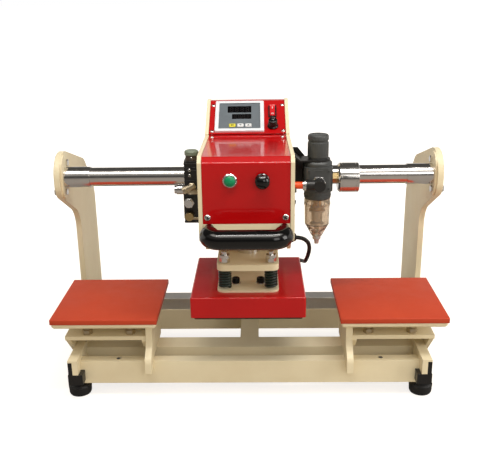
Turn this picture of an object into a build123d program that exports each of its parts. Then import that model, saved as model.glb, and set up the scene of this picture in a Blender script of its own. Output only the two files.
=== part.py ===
from build123d import *
from math import cos, pi, radians, sin, tan
import os

os.makedirs("parts", exist_ok=True)

# Pneumatic heat press with two stations, in millimetres. +X is right, +Y is back, +Z is up.
# The origin is on the floor, in the middle of the footprint.

# Fits
running_gap = 0.05
bolt_gap = 0.2
seat_gap = 0.3
sheet = 1.5

# Feet and base frame
foot_height = 16.0
foot_r = 17.0
foot_stud_r = 4.0
foot_nut_height = 6.0
foot_nut_r = 8.0
beam_bottom = foot_height + foot_nut_height
beam_height = 35.0
beam_wall = 3.0
beam_top = beam_bottom + beam_height
front_beam_y = -102.0
front_beam_depth = 17.0
beam_hole_x = 188.0
beam_hole_r = 2.5
middle_beam_y = -58.0
middle_beam_depth = 32.0
rear_beam_y = 75.0
rear_beam_depth = 32.0
rib_width = 28.0
end_plate = 6.0
arm_x = 244.0
arm_web = 8.0
arm_front_y = -119.0
arm_nose_bottom = 44.0
arm_nose_length = 47.0
arm_top = 66.5
arm_flange = 3.0
arm_flange_width = 14.0
foot_bracket_wall = 7.0
foot_bracket_lift = 6.0
foot_bracket_bottom = beam_bottom + foot_bracket_lift
front_foot = (250.5, -88.5)
rear_foot = (262.0, 172.0)
rear_bracket_length = 44.0
rear_bracket_width = 21.0

# Side plates and cross shaft
side_x = 275.0
side_thickness = 9.0
shaft_y = 18.0
shaft_z = 301.0
shaft_r = 14.0
toe_y = 73.0
toe_top = 62.0
post_front_y = 96.0
post_back_y = 208.5
throat_top = 222.0
lobe_front = 25.0
lobe_rise = 50.0
boss_thickness = 3.0
clamp_bolt_r = 3.0
clamp_offset = (8.0, 20.5)
frame_bolt_r = 4.0

# Guide rail
rail_height = 20.0
rail_depth = 25.0
rail_wall = 2.5
rail_half = 268.0
rail_y = rear_beam_y + 1.0
rail_top = beam_top + rail_height

# Tables
station_x = 202.5
table_y = -45.0
pad_size = 150.0
pad_thickness = 8.0
pad_top = 131.0
table_plate_inset = 1.5
table_plate_thickness = 7.0
table_chamfer = 3.0
table_corner_r = 3.5
bracket_top = 94.0
bracket_thickness = 6.0
bracket_depth = 102.0
bracket_front_y = -96.0
ear_bottom = 47.0
inner_flange_bottom = 70.0
support_x = 138.3
support_thickness = 9.4
support_top = 110.0
support_back_y = -10.0
stud_r = 4.0
stud_spread = (31.0, 40.0)
nut_height = 6.5
nut_r = 7.5

# Head
head_half = 56.0
head_plate = 5.2
head_edge = 1.2
head_front_y = -151.0
head_back_y = 93.0
head_bottom = shaft_z - 46.0
head_skirt_bottom = shaft_z - 94.0
head_corner_r = 9.0
head_bevel_z = shaft_z + 57.7
head_top_z = shaft_z + 64.5
head_bevel_y = head_front_y + 8.0
riser_y = 7.0
riser_bottom = shaft_z + 60.5
riser_height = 4.3
panel_angle = 27.8
panel_length = 80.0
crown_depth = 12.0
base_plate_thickness = 8.0
front_lip_top = head_bottom + 24.4
cover_half = head_half - 0.2

# Shaft bearing
bearing_half = 31.2
bush_outer_r = 20.0
housing_r = 22.0
sleeve_outer_r = 15.5
plate_shaft_hole_r = 17.0

# Air cylinder and press stack
stroke = 30.0
spring_travel = 4.0
cylinder_size = 76.0
cylinder_wall = 8.0
bore_r = 31.5
piston_thickness = 12.0
piston_gap = 0.08
rod_r = 9.0
rod_flange_r = 17.0
rod_flange = 6.0
platen_gap = 0.5
heating_size = 150.0
heating_corner_r = 3.0
heating_thickness = 18.0
heating_show = 4.0
heating_post_inset = 25.0
heating_post_r = 7.0
cover_gap_x = 2.7
cover_gap_y = 3.0
cover_height = 30.0
cover_bend = 2.5
lower_plate_thickness = 3.0
press_plate_x = 85.4
press_plate_y = 124.0
press_plate_thickness = 9.0
press_corner_r = 10.0
spring_space = 29.0
guide_bolt_r = 4.0
guide_bolt_rise = 16.0
guide_inset = 11.7
spring_outer_r = 9.5
wire_r = 1.5
spring_turns = 6.5

cover_size_x = heating_size + 2 * (cover_gap_x + sheet)
cover_size_y = heating_size + 2 * (cover_gap_y + sheet)
guide_spread = (press_plate_x / 2 - guide_inset + 1, press_plate_y / 2 - guide_inset)
platen_bottom = pad_top + platen_gap
cover_bottom = platen_bottom + heating_show
cover_top = cover_bottom + cover_height
lower_plate_top = cover_top + lower_plate_thickness
press_plate_bottom = lower_plate_top + spring_space
press_plate_top = press_plate_bottom + press_plate_thickness
guide_bolt_top = press_plate_top + guide_bolt_rise
cylinder_bottom = head_bottom + base_plate_thickness
chamber_bottom = cylinder_bottom + cylinder_wall
piston_bottom = chamber_bottom + spring_travel + 0.5
chamber_top = piston_bottom + piston_thickness + stroke + 0.7
cylinder_top = chamber_top + 10.0


def dome(r, base, rise):
    """Points for an arc from the rim of a dome to its crown, with the arc's centre on the axis."""
    ball = (r * r + rise * rise) / (2 * rise)
    middle = base + rise - ball + (ball * ball - r * r / 4) ** 0.5
    return [(r, base), (r / 2, middle), (0, base + rise)]


def regular_bolt(shank_r, shank_length, head_r, head_height):
    """A hex bolt: its seat is at z = 0, the head above and the shank below."""
    with BuildPart() as bolt:
        with BuildSketch(Plane.XY.offset(-shank_length)):
            Circle(shank_r)
        extrude(amount=shank_length)
        with BuildSketch():
            RegularPolygon(head_r, 6)
        extrude(amount=head_height)
    return bolt.part


def button_screw(shank_r, shank_length, head_r, head_height):
    """A dome headed screw: its seat is at z = 0, the head above and the shank below."""
    with BuildPart() as screw:
        with BuildSketch(Plane.XZ):
            with BuildLine():
                Polyline((0, head_height), (0, -shank_length), (shank_r, -shank_length), (shank_r, 0), (head_r, 0))
                ThreePointArc(*dome(head_r, 0, head_height))
            make_face()
        revolve(axis=Axis.Z)
    return screw.part


def right_hand(x, y, z):
    """A place on the right side, where local +Z points out along +X."""
    return Location((x, y, z), (0, 90, 0))


def left_hand(x, y, z):
    """A place on the left side, where local +Z points out along -X."""
    return Location((x, y, z), (0, -90, 0))


# Side plates: a tall post with a lobe that leans forward over the tables to hold the shaft
plate_points = [
    (toe_y, beam_bottom),
    (toe_y, toe_top),
    (post_front_y, toe_top + 30),
    (post_front_y, throat_top),
    (shaft_y - lobe_front, throat_top + 56),
    (shaft_y - lobe_front, shaft_z + lobe_rise),
    (post_front_y + 54, shaft_z - 1),
    (post_back_y, shaft_z - 67),
    (post_back_y, beam_bottom),
]
plate_radii = [4, 8, 20, 45, 26, 36, 40, 40, 6]
clamp_points = [
    (shaft_y + clamp_offset[0], shaft_z + clamp_offset[1]),
    (shaft_y - clamp_offset[0], shaft_z - clamp_offset[1]),
]
rear_bolt_points = [
    (rear_beam_y + rear_beam_depth / 2, beam_bottom + beam_height * share) for share in (0.3, 0.7)
]

with BuildPart() as side_plate_right:
    with BuildSketch(Plane.YZ.offset(side_x)):
        with BuildLine():
            FilletPolyline(*plate_points, radius=plate_radii, close=True)
        make_face()
    extrude(amount=side_thickness)
    chamfer(side_plate_right.faces().sort_by(Axis.X)[-1].edges(), length=1.0)
    with BuildSketch(Plane.YZ.offset(side_x)):
        with Locations((shaft_y, shaft_z)):
            SlotOverall(66, 38, rotation=90)
    extrude(amount=-boss_thickness)
    with BuildSketch(Plane.YZ.offset(side_x - boss_thickness)):
        with Locations((shaft_y, shaft_z)):
            Circle(shaft_r + running_gap)
        with Locations(*clamp_points):
            Circle(clamp_bolt_r + bolt_gap)
        with Locations(*rear_bolt_points):
            Circle(frame_bolt_r + bolt_gap)
    extrude(amount=boss_thickness + side_thickness, mode=Mode.SUBTRACT)

with BuildPart() as side_plate_left:
    mirror(side_plate_right.part, about=Plane.YZ)

side_plate_right.part.label = "side_plate_right"
export_step(side_plate_right.part, "parts/side_plate_right.step")
side_plate_left.part.label = "side_plate_left"
export_step(side_plate_left.part, "parts/side_plate_left.step")

# Cross shaft, flush with the outer faces of the side plates
shaft_half = side_x + side_thickness
with BuildPart() as cross_shaft:
    with BuildSketch(Plane.YZ.offset(-shaft_half)):
        with Locations((shaft_y, shaft_z)):
            Circle(shaft_r)
    extrude(amount=2 * shaft_half)
    chamfer(cross_shaft.faces().sort_by(Axis.X)[0].edges(), length=1.5)
    chamfer(cross_shaft.faces().sort_by(Axis.X)[-1].edges(), length=1.5)

cross_shaft.part.label = "cross_shaft"
export_step(cross_shaft.part, "parts/cross_shaft.step")

# Stop sleeves: the shaft bearing meets their inner ends when the head is over a table
sleeve_end = side_x - boss_thickness
sleeve_start = station_x + bearing_half + seat_gap
with BuildPart() as stop_sleeves:
    with BuildSketch(Plane.YZ.offset(sleeve_start)):
        with Locations((shaft_y, shaft_z)):
            Circle(sleeve_outer_r)
            Circle(shaft_r + running_gap, mode=Mode.SUBTRACT)
    extrude(amount=sleeve_end - sleeve_start)
    mirror(about=Plane.YZ)

stop_sleeves.part.label = "stop_sleeves"
export_step(stop_sleeves.part, "parts/stop_sleeves.step")

# Base beams: cold formed channels, open to the back
with BuildPart() as front_beam:
    with BuildSketch(Plane.YZ.offset(-arm_x)):
        with Locations((front_beam_y, beam_bottom)):
            Rectangle(front_beam_depth, beam_height, align=(Align.MIN, Align.MIN))
        with Locations((front_beam_y + beam_wall, beam_bottom + beam_wall)):
            Rectangle(front_beam_depth, beam_height - 2 * beam_wall, align=(Align.MIN, Align.MIN), mode=Mode.SUBTRACT)
    extrude(amount=2 * arm_x)
    with BuildSketch(Plane.XY.offset(beam_top - beam_wall)):
        with Locations(*[(side * beam_hole_x, front_beam_y + 0.6 * front_beam_depth) for side in (-1, 1)]):
            Circle(beam_hole_r)
    extrude(amount=beam_wall, mode=Mode.SUBTRACT)

front_beam.part.label = "front_beam"
export_step(front_beam.part, "parts/front_beam.step")

with BuildPart() as middle_beam:
    with BuildSketch(Plane.YZ.offset(-arm_x)):
        with Locations((middle_beam_y, beam_bottom)):
            Rectangle(middle_beam_depth, beam_height, align=(Align.MIN, Align.MIN))
        with Locations((middle_beam_y + beam_wall, beam_bottom + beam_wall)):
            Rectangle(middle_beam_depth, beam_height - 2 * beam_wall, align=(Align.MIN, Align.MIN), mode=Mode.SUBTRACT)
    extrude(amount=2 * arm_x)
    # centre rib that ties the middle beam to the rear beam, open below
    with BuildSketch(Plane.XZ.offset(-(middle_beam_y + beam_wall))):
        with Locations((0, beam_bottom)):
            Rectangle(rib_width, beam_height, align=(Align.CENTER, Align.MIN))
            Rectangle(rib_width - 2 * beam_wall, beam_height - beam_wall, align=(Align.CENTER, Align.MIN), mode=Mode.SUBTRACT)
    extrude(amount=-(rear_beam_y - middle_beam_y - beam_wall))

middle_beam.part.label = "middle_beam"
export_step(middle_beam.part, "parts/middle_beam.step")

with BuildPart() as rear_beam:
    with BuildSketch(Plane.YZ.offset(-side_x)):
        with Locations((rear_beam_y, beam_bottom)):
            Rectangle(rear_beam_depth, beam_height, align=(Align.MIN, Align.MIN))
        with Locations((rear_beam_y + beam_wall, beam_bottom + beam_wall)):
            Rectangle(rear_beam_depth, beam_height - 2 * beam_wall, align=(Align.MIN, Align.MIN), mode=Mode.SUBTRACT)
    extrude(amount=2 * side_x)
    with BuildSketch(Plane.YZ.offset(side_x - end_plate)):
        with Locations((rear_beam_y, beam_bottom)):
            Rectangle(rear_beam_depth, beam_height, align=(Align.MIN, Align.MIN))
        with Locations(*rear_bolt_points):
            Circle(frame_bolt_r + bolt_gap, mode=Mode.SUBTRACT)
    end_plate_right = extrude(amount=end_plate)
    mirror(end_plate_right, about=Plane.YZ)

rear_beam.part.label = "rear_beam"
export_step(rear_beam.part, "parts/rear_beam.step")

# Guide rail: a bright square tube on the rear beam
with BuildPart() as guide_rail:
    with BuildSketch(Plane.YZ.offset(-rail_half)):
        with Locations((rail_y, beam_top)):
            Rectangle(rail_depth, rail_height, align=(Align.MIN, Align.MIN))
        with Locations((rail_y + rail_wall, beam_top + rail_wall)):
            Rectangle(
                rail_depth - 2 * rail_wall, rail_height - 2 * rail_wall, align=(Align.MIN, Align.MIN), mode=Mode.SUBTRACT
            )
    extrude(amount=2 * rail_half)

guide_rail.part.label = "guide_rail"
export_step(guide_rail.part, "parts/guide_rail.step")

# Base arms: a web on edge with a top flange, welded to the ends of the beams
ear_bolt_points = [(bracket_front_y + share * bracket_depth, ear_bottom + 9) for share in (0.52, 0.87)]
arm_outer = arm_x + arm_web
boss_end = arm_x + arm_flange_width
with BuildPart() as base_arms:
    with BuildSketch(Plane.YZ.offset(arm_x)):
        with BuildLine():
            Polyline(
                (arm_front_y, arm_nose_bottom),
                (arm_front_y, arm_top),
                (rear_beam_y, arm_top),
                (rear_beam_y, beam_bottom),
                (arm_front_y + arm_nose_length, beam_bottom),
                (arm_front_y + arm_nose_length, arm_nose_bottom),
                close=True,
            )
        make_face()
    extrude(amount=arm_web)
    with BuildSketch(Plane.XY.offset(arm_top - arm_flange)):
        with Locations((arm_x, arm_front_y)):
            Rectangle(arm_flange_width, rear_beam_y - arm_front_y, align=(Align.MIN, Align.MIN))
    extrude(amount=arm_flange)
    with BuildSketch(Plane.YZ.offset(arm_outer)):
        with Locations(*ear_bolt_points):
            Circle(7)
    extrude(amount=boss_end - arm_outer)
    with BuildSketch(Plane.YZ.offset(arm_outer - 4)):
        with Locations(*ear_bolt_points):
            Circle(clamp_bolt_r + bolt_gap)
    extrude(amount=boss_end - arm_outer + 4, mode=Mode.SUBTRACT)
    mirror(about=Plane.YZ)

base_arms.part.label = "base_arms"
export_step(base_arms.part, "parts/base_arms.step")

# Inner table supports: curved plates that stand on the beams
support_outer = support_x + support_thickness
with BuildPart() as inner_supports:
    with BuildSketch(Plane.YZ.offset(support_x)):
        with BuildLine():
            FilletPolyline(
                (arm_front_y, arm_nose_bottom),
                (arm_front_y, arm_top),
                (bracket_front_y - 3, arm_top + 15),
                (bracket_front_y, support_top),
                (support_back_y, support_top),
                (support_back_y, beam_top),
                (front_beam_y, beam_top),
                (front_beam_y, arm_nose_bottom),
                radius=[2, 12, 20, 4, 4, 0, 0, 2],
                close=True,
            )
        make_face()
    extrude(amount=support_thickness)
    mirror(about=Plane.YZ)

inner_supports.part.label = "inner_supports"
export_step(inner_supports.part, "parts/inner_supports.step")

# Table brackets: a top plate with an outer ear on the arm and an inner flange on the support
ear_x = boss_end + seat_gap
bracket_outer = ear_x + bracket_thickness
bracket_inner = support_outer + seat_gap
bracket_back_y = bracket_front_y + bracket_depth
inner_bolt_points = [(bracket_front_y + share * bracket_depth, inner_flange_bottom + 9) for share in (0.3, 0.68)]
stud_points = [
    (station_x + i * stud_spread[0], table_y + j * stud_spread[1]) for i in (-1, 1) for j in (-1, 1)
]
with BuildPart() as table_brackets:
    with BuildSketch(Plane.XY.offset(bracket_top - bracket_thickness)):
        with Locations((bracket_inner, bracket_front_y)):
            Rectangle(bracket_outer - bracket_inner, bracket_depth, align=(Align.MIN, Align.MIN))
        with Locations(*stud_points):
            Circle(stud_r + bolt_gap, mode=Mode.SUBTRACT)
    extrude(amount=bracket_thickness)
    with BuildSketch(Plane.YZ.offset(ear_x)):
        with BuildLine():
            FilletPolyline(
                (bracket_front_y, bracket_top),
                (bracket_front_y, bracket_top - 4),
                (bracket_front_y + 42, ear_bottom),
                (bracket_back_y, ear_bottom),
                (bracket_back_y, bracket_top),
                radius=[0, 3, 20, 8, 0],
                close=True,
            )
        make_face()
        with Locations(*ear_bolt_points):
            Circle(clamp_bolt_r + bolt_gap, mode=Mode.SUBTRACT)
    extrude(amount=bracket_thickness)
    with BuildSketch(Plane.YZ.offset(bracket_inner)):
        with BuildLine():
            FilletPolyline(
                (bracket_front_y, bracket_top),
                (bracket_front_y, bracket_top - 8),
                (bracket_front_y + 14, inner_flange_bottom),
                (bracket_back_y, inner_flange_bottom),
                (bracket_back_y, bracket_top),
                radius=[0, 2, 6, 6, 0],
                close=True,
            )
        make_face()
        with Locations(*inner_bolt_points):
            Circle(clamp_bolt_r + bolt_gap, mode=Mode.SUBTRACT)
    extrude(amount=bracket_thickness)
    mirror(about=Plane.YZ)

table_brackets.part.label = "table_brackets"
export_step(table_brackets.part, "parts/table_brackets.step")

# Aluminium table plates with a chamfered lower edge, and the silicone pads on them
pad_bottom = pad_top - pad_thickness
table_plate_bottom = pad_bottom - table_plate_thickness
table_plate_size = pad_size - 2 * table_plate_inset
with BuildPart() as table_plates:
    with BuildSketch(Plane.XY.offset(table_plate_bottom)):
        with Locations((station_x, table_y)):
            RectangleRounded(table_plate_size, table_plate_size, table_corner_r)
    extrude(amount=table_plate_thickness)
    chamfer(table_plates.faces().sort_by(Axis.Z)[0].edges(), length=table_chamfer)
    mirror(about=Plane.YZ)

table_plates.part.label = "table_plates"
export_step(table_plates.part, "parts/table_plates.step")

with BuildPart() as silicone_pads:
    with BuildSketch(Plane.XY.offset(pad_bottom)):
        with Locations((station_x, table_y)):
            RectangleRounded(pad_size, pad_size, 3)
    extrude(amount=pad_thickness)
    mirror(about=Plane.YZ)

silicone_pads.part.label = "silicone_pads"
export_step(silicone_pads.part, "parts/silicone_pads.step")

# Frame bolts: shaft clamps, rear beam, bracket ears and flanges, and the table levelling studs
clamp_bolt = regular_bolt(clamp_bolt_r, side_thickness + boss_thickness, 5.5, 4.0)
rear_bolt = regular_bolt(frame_bolt_r, side_thickness + end_plate + 3, 7.5, 5.0)
ear_bolt = regular_bolt(clamp_bolt_r, bracket_thickness + 9, 5.5, 4.0)
flange_bolt = regular_bolt(clamp_bolt_r, bracket_thickness - 0.2, 5.5, 4.0)
with BuildPart() as level_stud_builder:
    with BuildSketch(Plane.XY.offset(bracket_top - bracket_thickness)):
        Circle(stud_r)
    extrude(amount=table_plate_bottom - bracket_top + bracket_thickness)
    for nut_z in (bracket_top, table_plate_bottom - nut_height):
        with BuildSketch(Plane.XY.offset(nut_z)):
            RegularPolygon(nut_r, 6)
        extrude(amount=nut_height)
level_stud = level_stud_builder.part
clamp_nut = regular_bolt(clamp_bolt_r, 1.0, 5.0, 3.0)

with BuildPart() as frame_bolts:
    with Locations(*[right_hand(shaft_half, y, z) for y, z in clamp_points]):
        add(clamp_bolt)
    with Locations(*[left_hand(side_x - boss_thickness, y, z) for y, z in clamp_points]):
        add(clamp_nut)
    with Locations(*[right_hand(shaft_half, y, z) for y, z in rear_bolt_points]):
        add(rear_bolt)
    with Locations(*[right_hand(bracket_outer, y, z) for y, z in ear_bolt_points]):
        add(ear_bolt)
    with Locations(*[right_hand(bracket_inner + bracket_thickness, y, z) for y, z in inner_bolt_points]):
        add(flange_bolt)
    with Locations(*stud_points):
        add(level_stud)
    mirror(about=Plane.YZ)

frame_bolts.part.label = "frame_bolts"
export_step(frame_bolts.part, "parts/frame_bolts.step")

# Foot brackets: black blocks under the arms and inside the side plates
bracket_leg_top = arm_top - arm_flange
with BuildPart() as foot_brackets:
    with BuildSketch(Plane.XY.offset(foot_bracket_bottom)):
        with Locations((arm_x - 6, arm_front_y)):
            Rectangle(
                6 + arm_web + foot_bracket_wall, front_beam_y - seat_gap - arm_front_y, align=(Align.MIN, Align.MIN)
            )
        with Locations((arm_x + seat_gap, front_beam_y - 1)):
            Rectangle(
                arm_web + foot_bracket_wall - seat_gap,
                arm_front_y + arm_nose_length - seat_gap - front_beam_y + 1,
                align=(Align.MIN, Align.MIN),
            )
        with Locations(front_foot):
            Circle(foot_stud_r + 0.1, mode=Mode.SUBTRACT)
    extrude(amount=arm_nose_bottom - foot_bracket_bottom)
    with BuildSketch(Plane.XY.offset(arm_nose_bottom)):
        with Locations((arm_outer, arm_front_y)):
            Rectangle(foot_bracket_wall - 1, 35, align=(Align.MIN, Align.MIN))
    extrude(amount=bracket_leg_top - arm_nose_bottom)
    with BuildSketch(Plane.XY.offset(foot_bracket_bottom)):
        with Locations((side_x, rear_foot[1])):
            Rectangle(rear_bracket_width, rear_bracket_length, align=(Align.MAX, Align.CENTER))
        with Locations(rear_foot):
            Circle(foot_stud_r + 0.1, mode=Mode.SUBTRACT)
    extrude(amount=arm_nose_bottom - foot_bracket_bottom)
    with BuildSketch(Plane.XY.offset(arm_nose_bottom)):
        with Locations((side_x, rear_foot[1])):
            Rectangle(foot_bracket_wall, rear_bracket_length, align=(Align.MAX, Align.CENTER))
    extrude(amount=bracket_leg_top - arm_nose_bottom)
    mirror(about=Plane.YZ)

foot_brackets.part.label = "foot_brackets"
export_step(foot_brackets.part, "parts/foot_brackets.step")

# Levelling feet: tapered rubber foot, lock nut and stud
stud_top = arm_nose_bottom - 2
with BuildPart() as foot_builder:
    with BuildSketch(Plane.XZ):
        with BuildLine():
            FilletPolyline(
                (0, 0),
                (foot_r - 2.0, 0),
                (foot_r - 0.8, 2.5),
                (foot_r, foot_height - 3),
                (foot_r - 2, foot_height),
                (foot_stud_r, foot_height),
                (foot_stud_r, stud_top),
                (0, stud_top),
                radius=[0, 0.8, 1, 1, 0.8, 0, 0, 0],
                close=True,
            )
        make_face()
    revolve(axis=Axis.Z)
    with BuildSketch(Plane.XY.offset(foot_height)):
        RegularPolygon(foot_nut_r, 6)
    extrude(amount=foot_nut_height)
levelling_foot = foot_builder.part

with BuildPart() as levelling_feet:
    with Locations(front_foot, rear_foot):
        add(levelling_foot)
    mirror(about=Plane.YZ)

levelling_feet.part.label = "levelling_feet"
export_step(levelling_feet.part, "parts/levelling_feet.step")

# Head outline, seen from the side: front panel, bevel, flat top, riser, sloped panel and crown
slope = radians(panel_angle)
riser_top = riser_bottom + riser_height
crown_y = riser_y + panel_length * cos(slope)
crown_z = riser_top + panel_length * sin(slope)
crown_back_y = crown_y + crown_depth
head_outline = [
    (head_front_y, head_bottom),
    (head_front_y, head_bevel_z),
    (head_bevel_y, head_top_z),
    (riser_y, riser_bottom),
    (riser_y, riser_top),
    (crown_y, crown_z),
    (crown_back_y, crown_z),
    (head_back_y, crown_z - 8),
    (head_back_y, head_skirt_bottom),
    (table_y + 5, head_skirt_bottom),
    (head_front_y + 50, head_bottom),
]
panel_plane = Plane(origin=(0, riser_y, riser_top), x_dir=(1, 0, 0), z_dir=(0, -sin(slope), cos(slope)))
head_outer = head_half + head_plate

# Places on the sides of the head
tube_y = table_y - 28.0
tube_z = shaft_z + 8.0
tube_r = 5.0
cable_gland = (-25.0, head_bottom - 37.0)
gland_shank_r = 5.0

with BuildPart() as head_side_plates:
    with BuildSketch(Plane.YZ.offset(head_half)):
        with BuildLine():
            FilletPolyline(*head_outline, radius=[head_corner_r] + [0] * (len(head_outline) - 1), close=True)
        make_face()
        offset(amount=head_edge)
        with Locations((shaft_y, shaft_z)):
            Circle(plate_shaft_hole_r, mode=Mode.SUBTRACT)
    extrude(amount=head_plate)
    mirror(about=Plane.YZ)
    with BuildSketch(Plane.YZ.offset(head_half)):
        with Locations((tube_y, tube_z)):
            Circle(tube_r + bolt_gap)
        with Locations(cable_gland):
            Circle(gland_shank_r + bolt_gap)
    extrude(amount=head_plate, mode=Mode.SUBTRACT)

head_side_plates.part.label = "head_side_plates"
export_step(head_side_plates.part, "parts/head_side_plates.step")

# Front cover: one bent sheet, with holes for the two push buttons
button_x = 20.4
button_z = shaft_z + 35.5
bezel_shank_r = 7.0
cover_screw_points = [(side * (cover_half - 6), front_lip_top + 9) for side in (-1, 1)]
cover_hole_r = 2.0
with BuildPart() as head_front_cover:
    with BuildSketch(Plane.YZ.offset(-cover_half)):
        with BuildLine():
            FilletPolyline(
                (head_front_y, front_lip_top + seat_gap),
                (head_front_y, head_bevel_z),
                (head_bevel_y, head_top_z),
                (riser_y - seat_gap, riser_bottom),
                (riser_y - seat_gap, riser_top - sheet - 0.6),
                radius=[3.5, 3.5, 1.0],
            )
            offset(amount=sheet, side=Side.RIGHT)
        make_face()
    extrude(amount=2 * cover_half)
    with BuildSketch(Plane.XZ.offset(-head_front_y)):
        with Locations(*[(side * button_x, button_z) for side in (-1, 1)]):
            Circle(bezel_shank_r + bolt_gap)
        with Locations(*cover_screw_points):
            Circle(cover_hole_r)
    extrude(amount=-3 * sheet, mode=Mode.SUBTRACT)

head_front_cover.part.label = "head_front_cover"
export_step(head_front_cover.part, "parts/head_front_cover.step")

# Control panel: the sloped sheet with the controller, a rocker and a knob
controller_size = 72.0
controller_x = -11.5
controller_at = 39.0
controller_body = 67.0
rocker_x = 37.2
rocker_at = 50.5
rocker_size = (12.0, 28.0)
knob_x = 37.2
knob_at = 16.0
knob_hole_r = 3.6
panel_screw_points = [(x, w) for x in (-cover_half + 4.6, cover_half - 3.6) for w in (5.0, 67.0)]
with BuildPart() as control_panel:
    with BuildSketch(Plane.YZ.offset(-cover_half)):
        with BuildLine():
            FilletPolyline(
                (riser_y, riser_top),
                (crown_y, crown_z),
                (crown_back_y, crown_z),
                radius=[2.0],
            )
            offset(amount=sheet, side=Side.RIGHT)
        make_face()
    extrude(amount=2 * cover_half)
    with BuildSketch(panel_plane.offset(-2 * sheet)):
        with Locations((controller_x, controller_at)):
            Rectangle(controller_body + 0.6, controller_body + 0.6)
        with Locations((rocker_x, rocker_at)):
            Rectangle(rocker_size[0] - 1.4, rocker_size[1] - 1.4)
        with Locations((knob_x, knob_at)):
            Circle(knob_hole_r)
        with Locations(*panel_screw_points):
            Circle(cover_hole_r)
    extrude(amount=4 * sheet, mode=Mode.SUBTRACT)

control_panel.part.label = "control_panel"
export_step(control_panel.part, "parts/control_panel.step")

# Rear cover: a flat sheet with louvre slots and the mains lead gland
mains_gland = (-46.0, head_bottom - 22.0)
rear_screw_points = [(x, z) for x in (-cover_half + 6, cover_half - 6) for z in (head_skirt_bottom + 12, crown_z - 30)]
with BuildPart() as head_rear_cover:
    with BuildSketch(Plane.XZ.offset(-head_back_y)):
        with Locations((0, head_skirt_bottom)):
            Rectangle(2 * cover_half, crown_z - 8 - head_skirt_bottom, align=(Align.CENTER, Align.MIN))
        with Locations((0, shaft_z + 40)):
            with GridLocations(0, 8, 1, 4):
                SlotOverall(60, 4, mode=Mode.SUBTRACT)
        with Locations(mains_gland):
            Circle(gland_shank_r + 1 + bolt_gap, mode=Mode.SUBTRACT)
        with Locations(*rear_screw_points):
            Circle(cover_hole_r, mode=Mode.SUBTRACT)
    extrude(amount=sheet)

head_rear_cover.part.label = "head_rear_cover"
export_step(head_rear_cover.part, "parts/head_rear_cover.step")

# Head base plate with its front lip: it carries the cylinder, the bearing and the guide arm
with BuildPart() as head_base_plate:
    with BuildSketch(Plane.YZ.offset(-cover_half)):
        with BuildLine():
            FilletPolyline(
                (head_front_y, head_bottom),
                (head_front_y, front_lip_top),
                (head_front_y + 3, front_lip_top),
                (head_front_y + 3, cylinder_bottom),
                (head_back_y - sheet - seat_gap, cylinder_bottom),
                (head_back_y - sheet - seat_gap, head_bottom),
                radius=[3, 0, 0, 3, 0, 0],
                close=True,
            )
        make_face()
    extrude(amount=2 * cover_half)
    with BuildSketch(Plane.XY.offset(head_bottom)):
        with Locations((0, table_y)):
            Circle(rod_r + 3)
    extrude(amount=base_plate_thickness, mode=Mode.SUBTRACT)

head_base_plate.part.label = "head_base_plate"
export_step(head_base_plate.part, "parts/head_base_plate.step")

# Shaft bearing: a cast block with two linear bushes pressed into it
with BuildPart() as bearing_block:
    with BuildSketch(Plane.YZ.offset(-bearing_half)):
        with Locations((shaft_y, cylinder_bottom)):
            Rectangle(2 * housing_r, shaft_z - cylinder_bottom, align=(Align.CENTER, Align.MIN))
        with Locations((shaft_y, shaft_z)):
            Circle(housing_r)
            Circle(bush_outer_r, mode=Mode.SUBTRACT)
    extrude(amount=2 * bearing_half)

with BuildPart() as bush_pair:
    with BuildSketch(Plane.YZ.offset(1.0)):
        with Locations((shaft_y, shaft_z)):
            Circle(bush_outer_r)
            Circle(shaft_r + running_gap, mode=Mode.SUBTRACT)
    extrude(amount=bearing_half - 1.0)
    mirror(about=Plane.YZ)

shaft_bearing = Compound(children=[*bearing_block.part.solids(), *bush_pair.part.solids()])
shaft_bearing.label = "shaft_bearing"
export_step(shaft_bearing, "parts/shaft_bearing.step")

# Air cylinder: a compact barrel and its end cap
with BuildPart() as air_cylinder:
    with BuildSketch(Plane.XY.offset(cylinder_bottom)):
        with Locations((0, table_y)):
            RectangleRounded(cylinder_size, cylinder_size, 8)
    extrude(amount=chamber_top - cylinder_bottom)
    with BuildSketch(Plane.XY.offset(chamber_bottom)):
        with Locations((0, table_y)):
            Circle(bore_r)
    extrude(amount=chamber_top - chamber_bottom, mode=Mode.SUBTRACT)
    with BuildSketch(Plane.XY.offset(cylinder_bottom)):
        with Locations((0, table_y)):
            Circle(rod_r + running_gap)
    extrude(amount=cylinder_wall, mode=Mode.SUBTRACT)
    with BuildSketch(Plane.XY.offset(chamber_top + 0.02)):
        with Locations((0, table_y)):
            RectangleRounded(cylinder_size, cylinder_size, 8)
    extrude(amount=cylinder_top - chamber_top)

air_cylinder.part.label = "air_cylinder"
export_step(air_cylinder.part, "parts/air_cylinder.step")

# Piston, rod and the flange that bolts to the pressure plate
with BuildPart() as piston_rod:
    with BuildSketch(Plane.XY.offset(press_plate_top)):
        with Locations((0, table_y)):
            Circle(rod_flange_r)
    extrude(amount=rod_flange)
    with BuildSketch(Plane.XY.offset(press_plate_top)):
        with Locations((0, table_y)):
            Circle(rod_r)
    extrude(amount=piston_bottom - press_plate_top)
    with BuildSketch(Plane.XY.offset(piston_bottom)):
        with Locations((0, table_y)):
            Circle(bore_r - piston_gap)
    extrude(amount=piston_thickness)

piston_rod.part.label = "piston_rod"
export_step(piston_rod.part, "parts/piston_rod.step")

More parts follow.
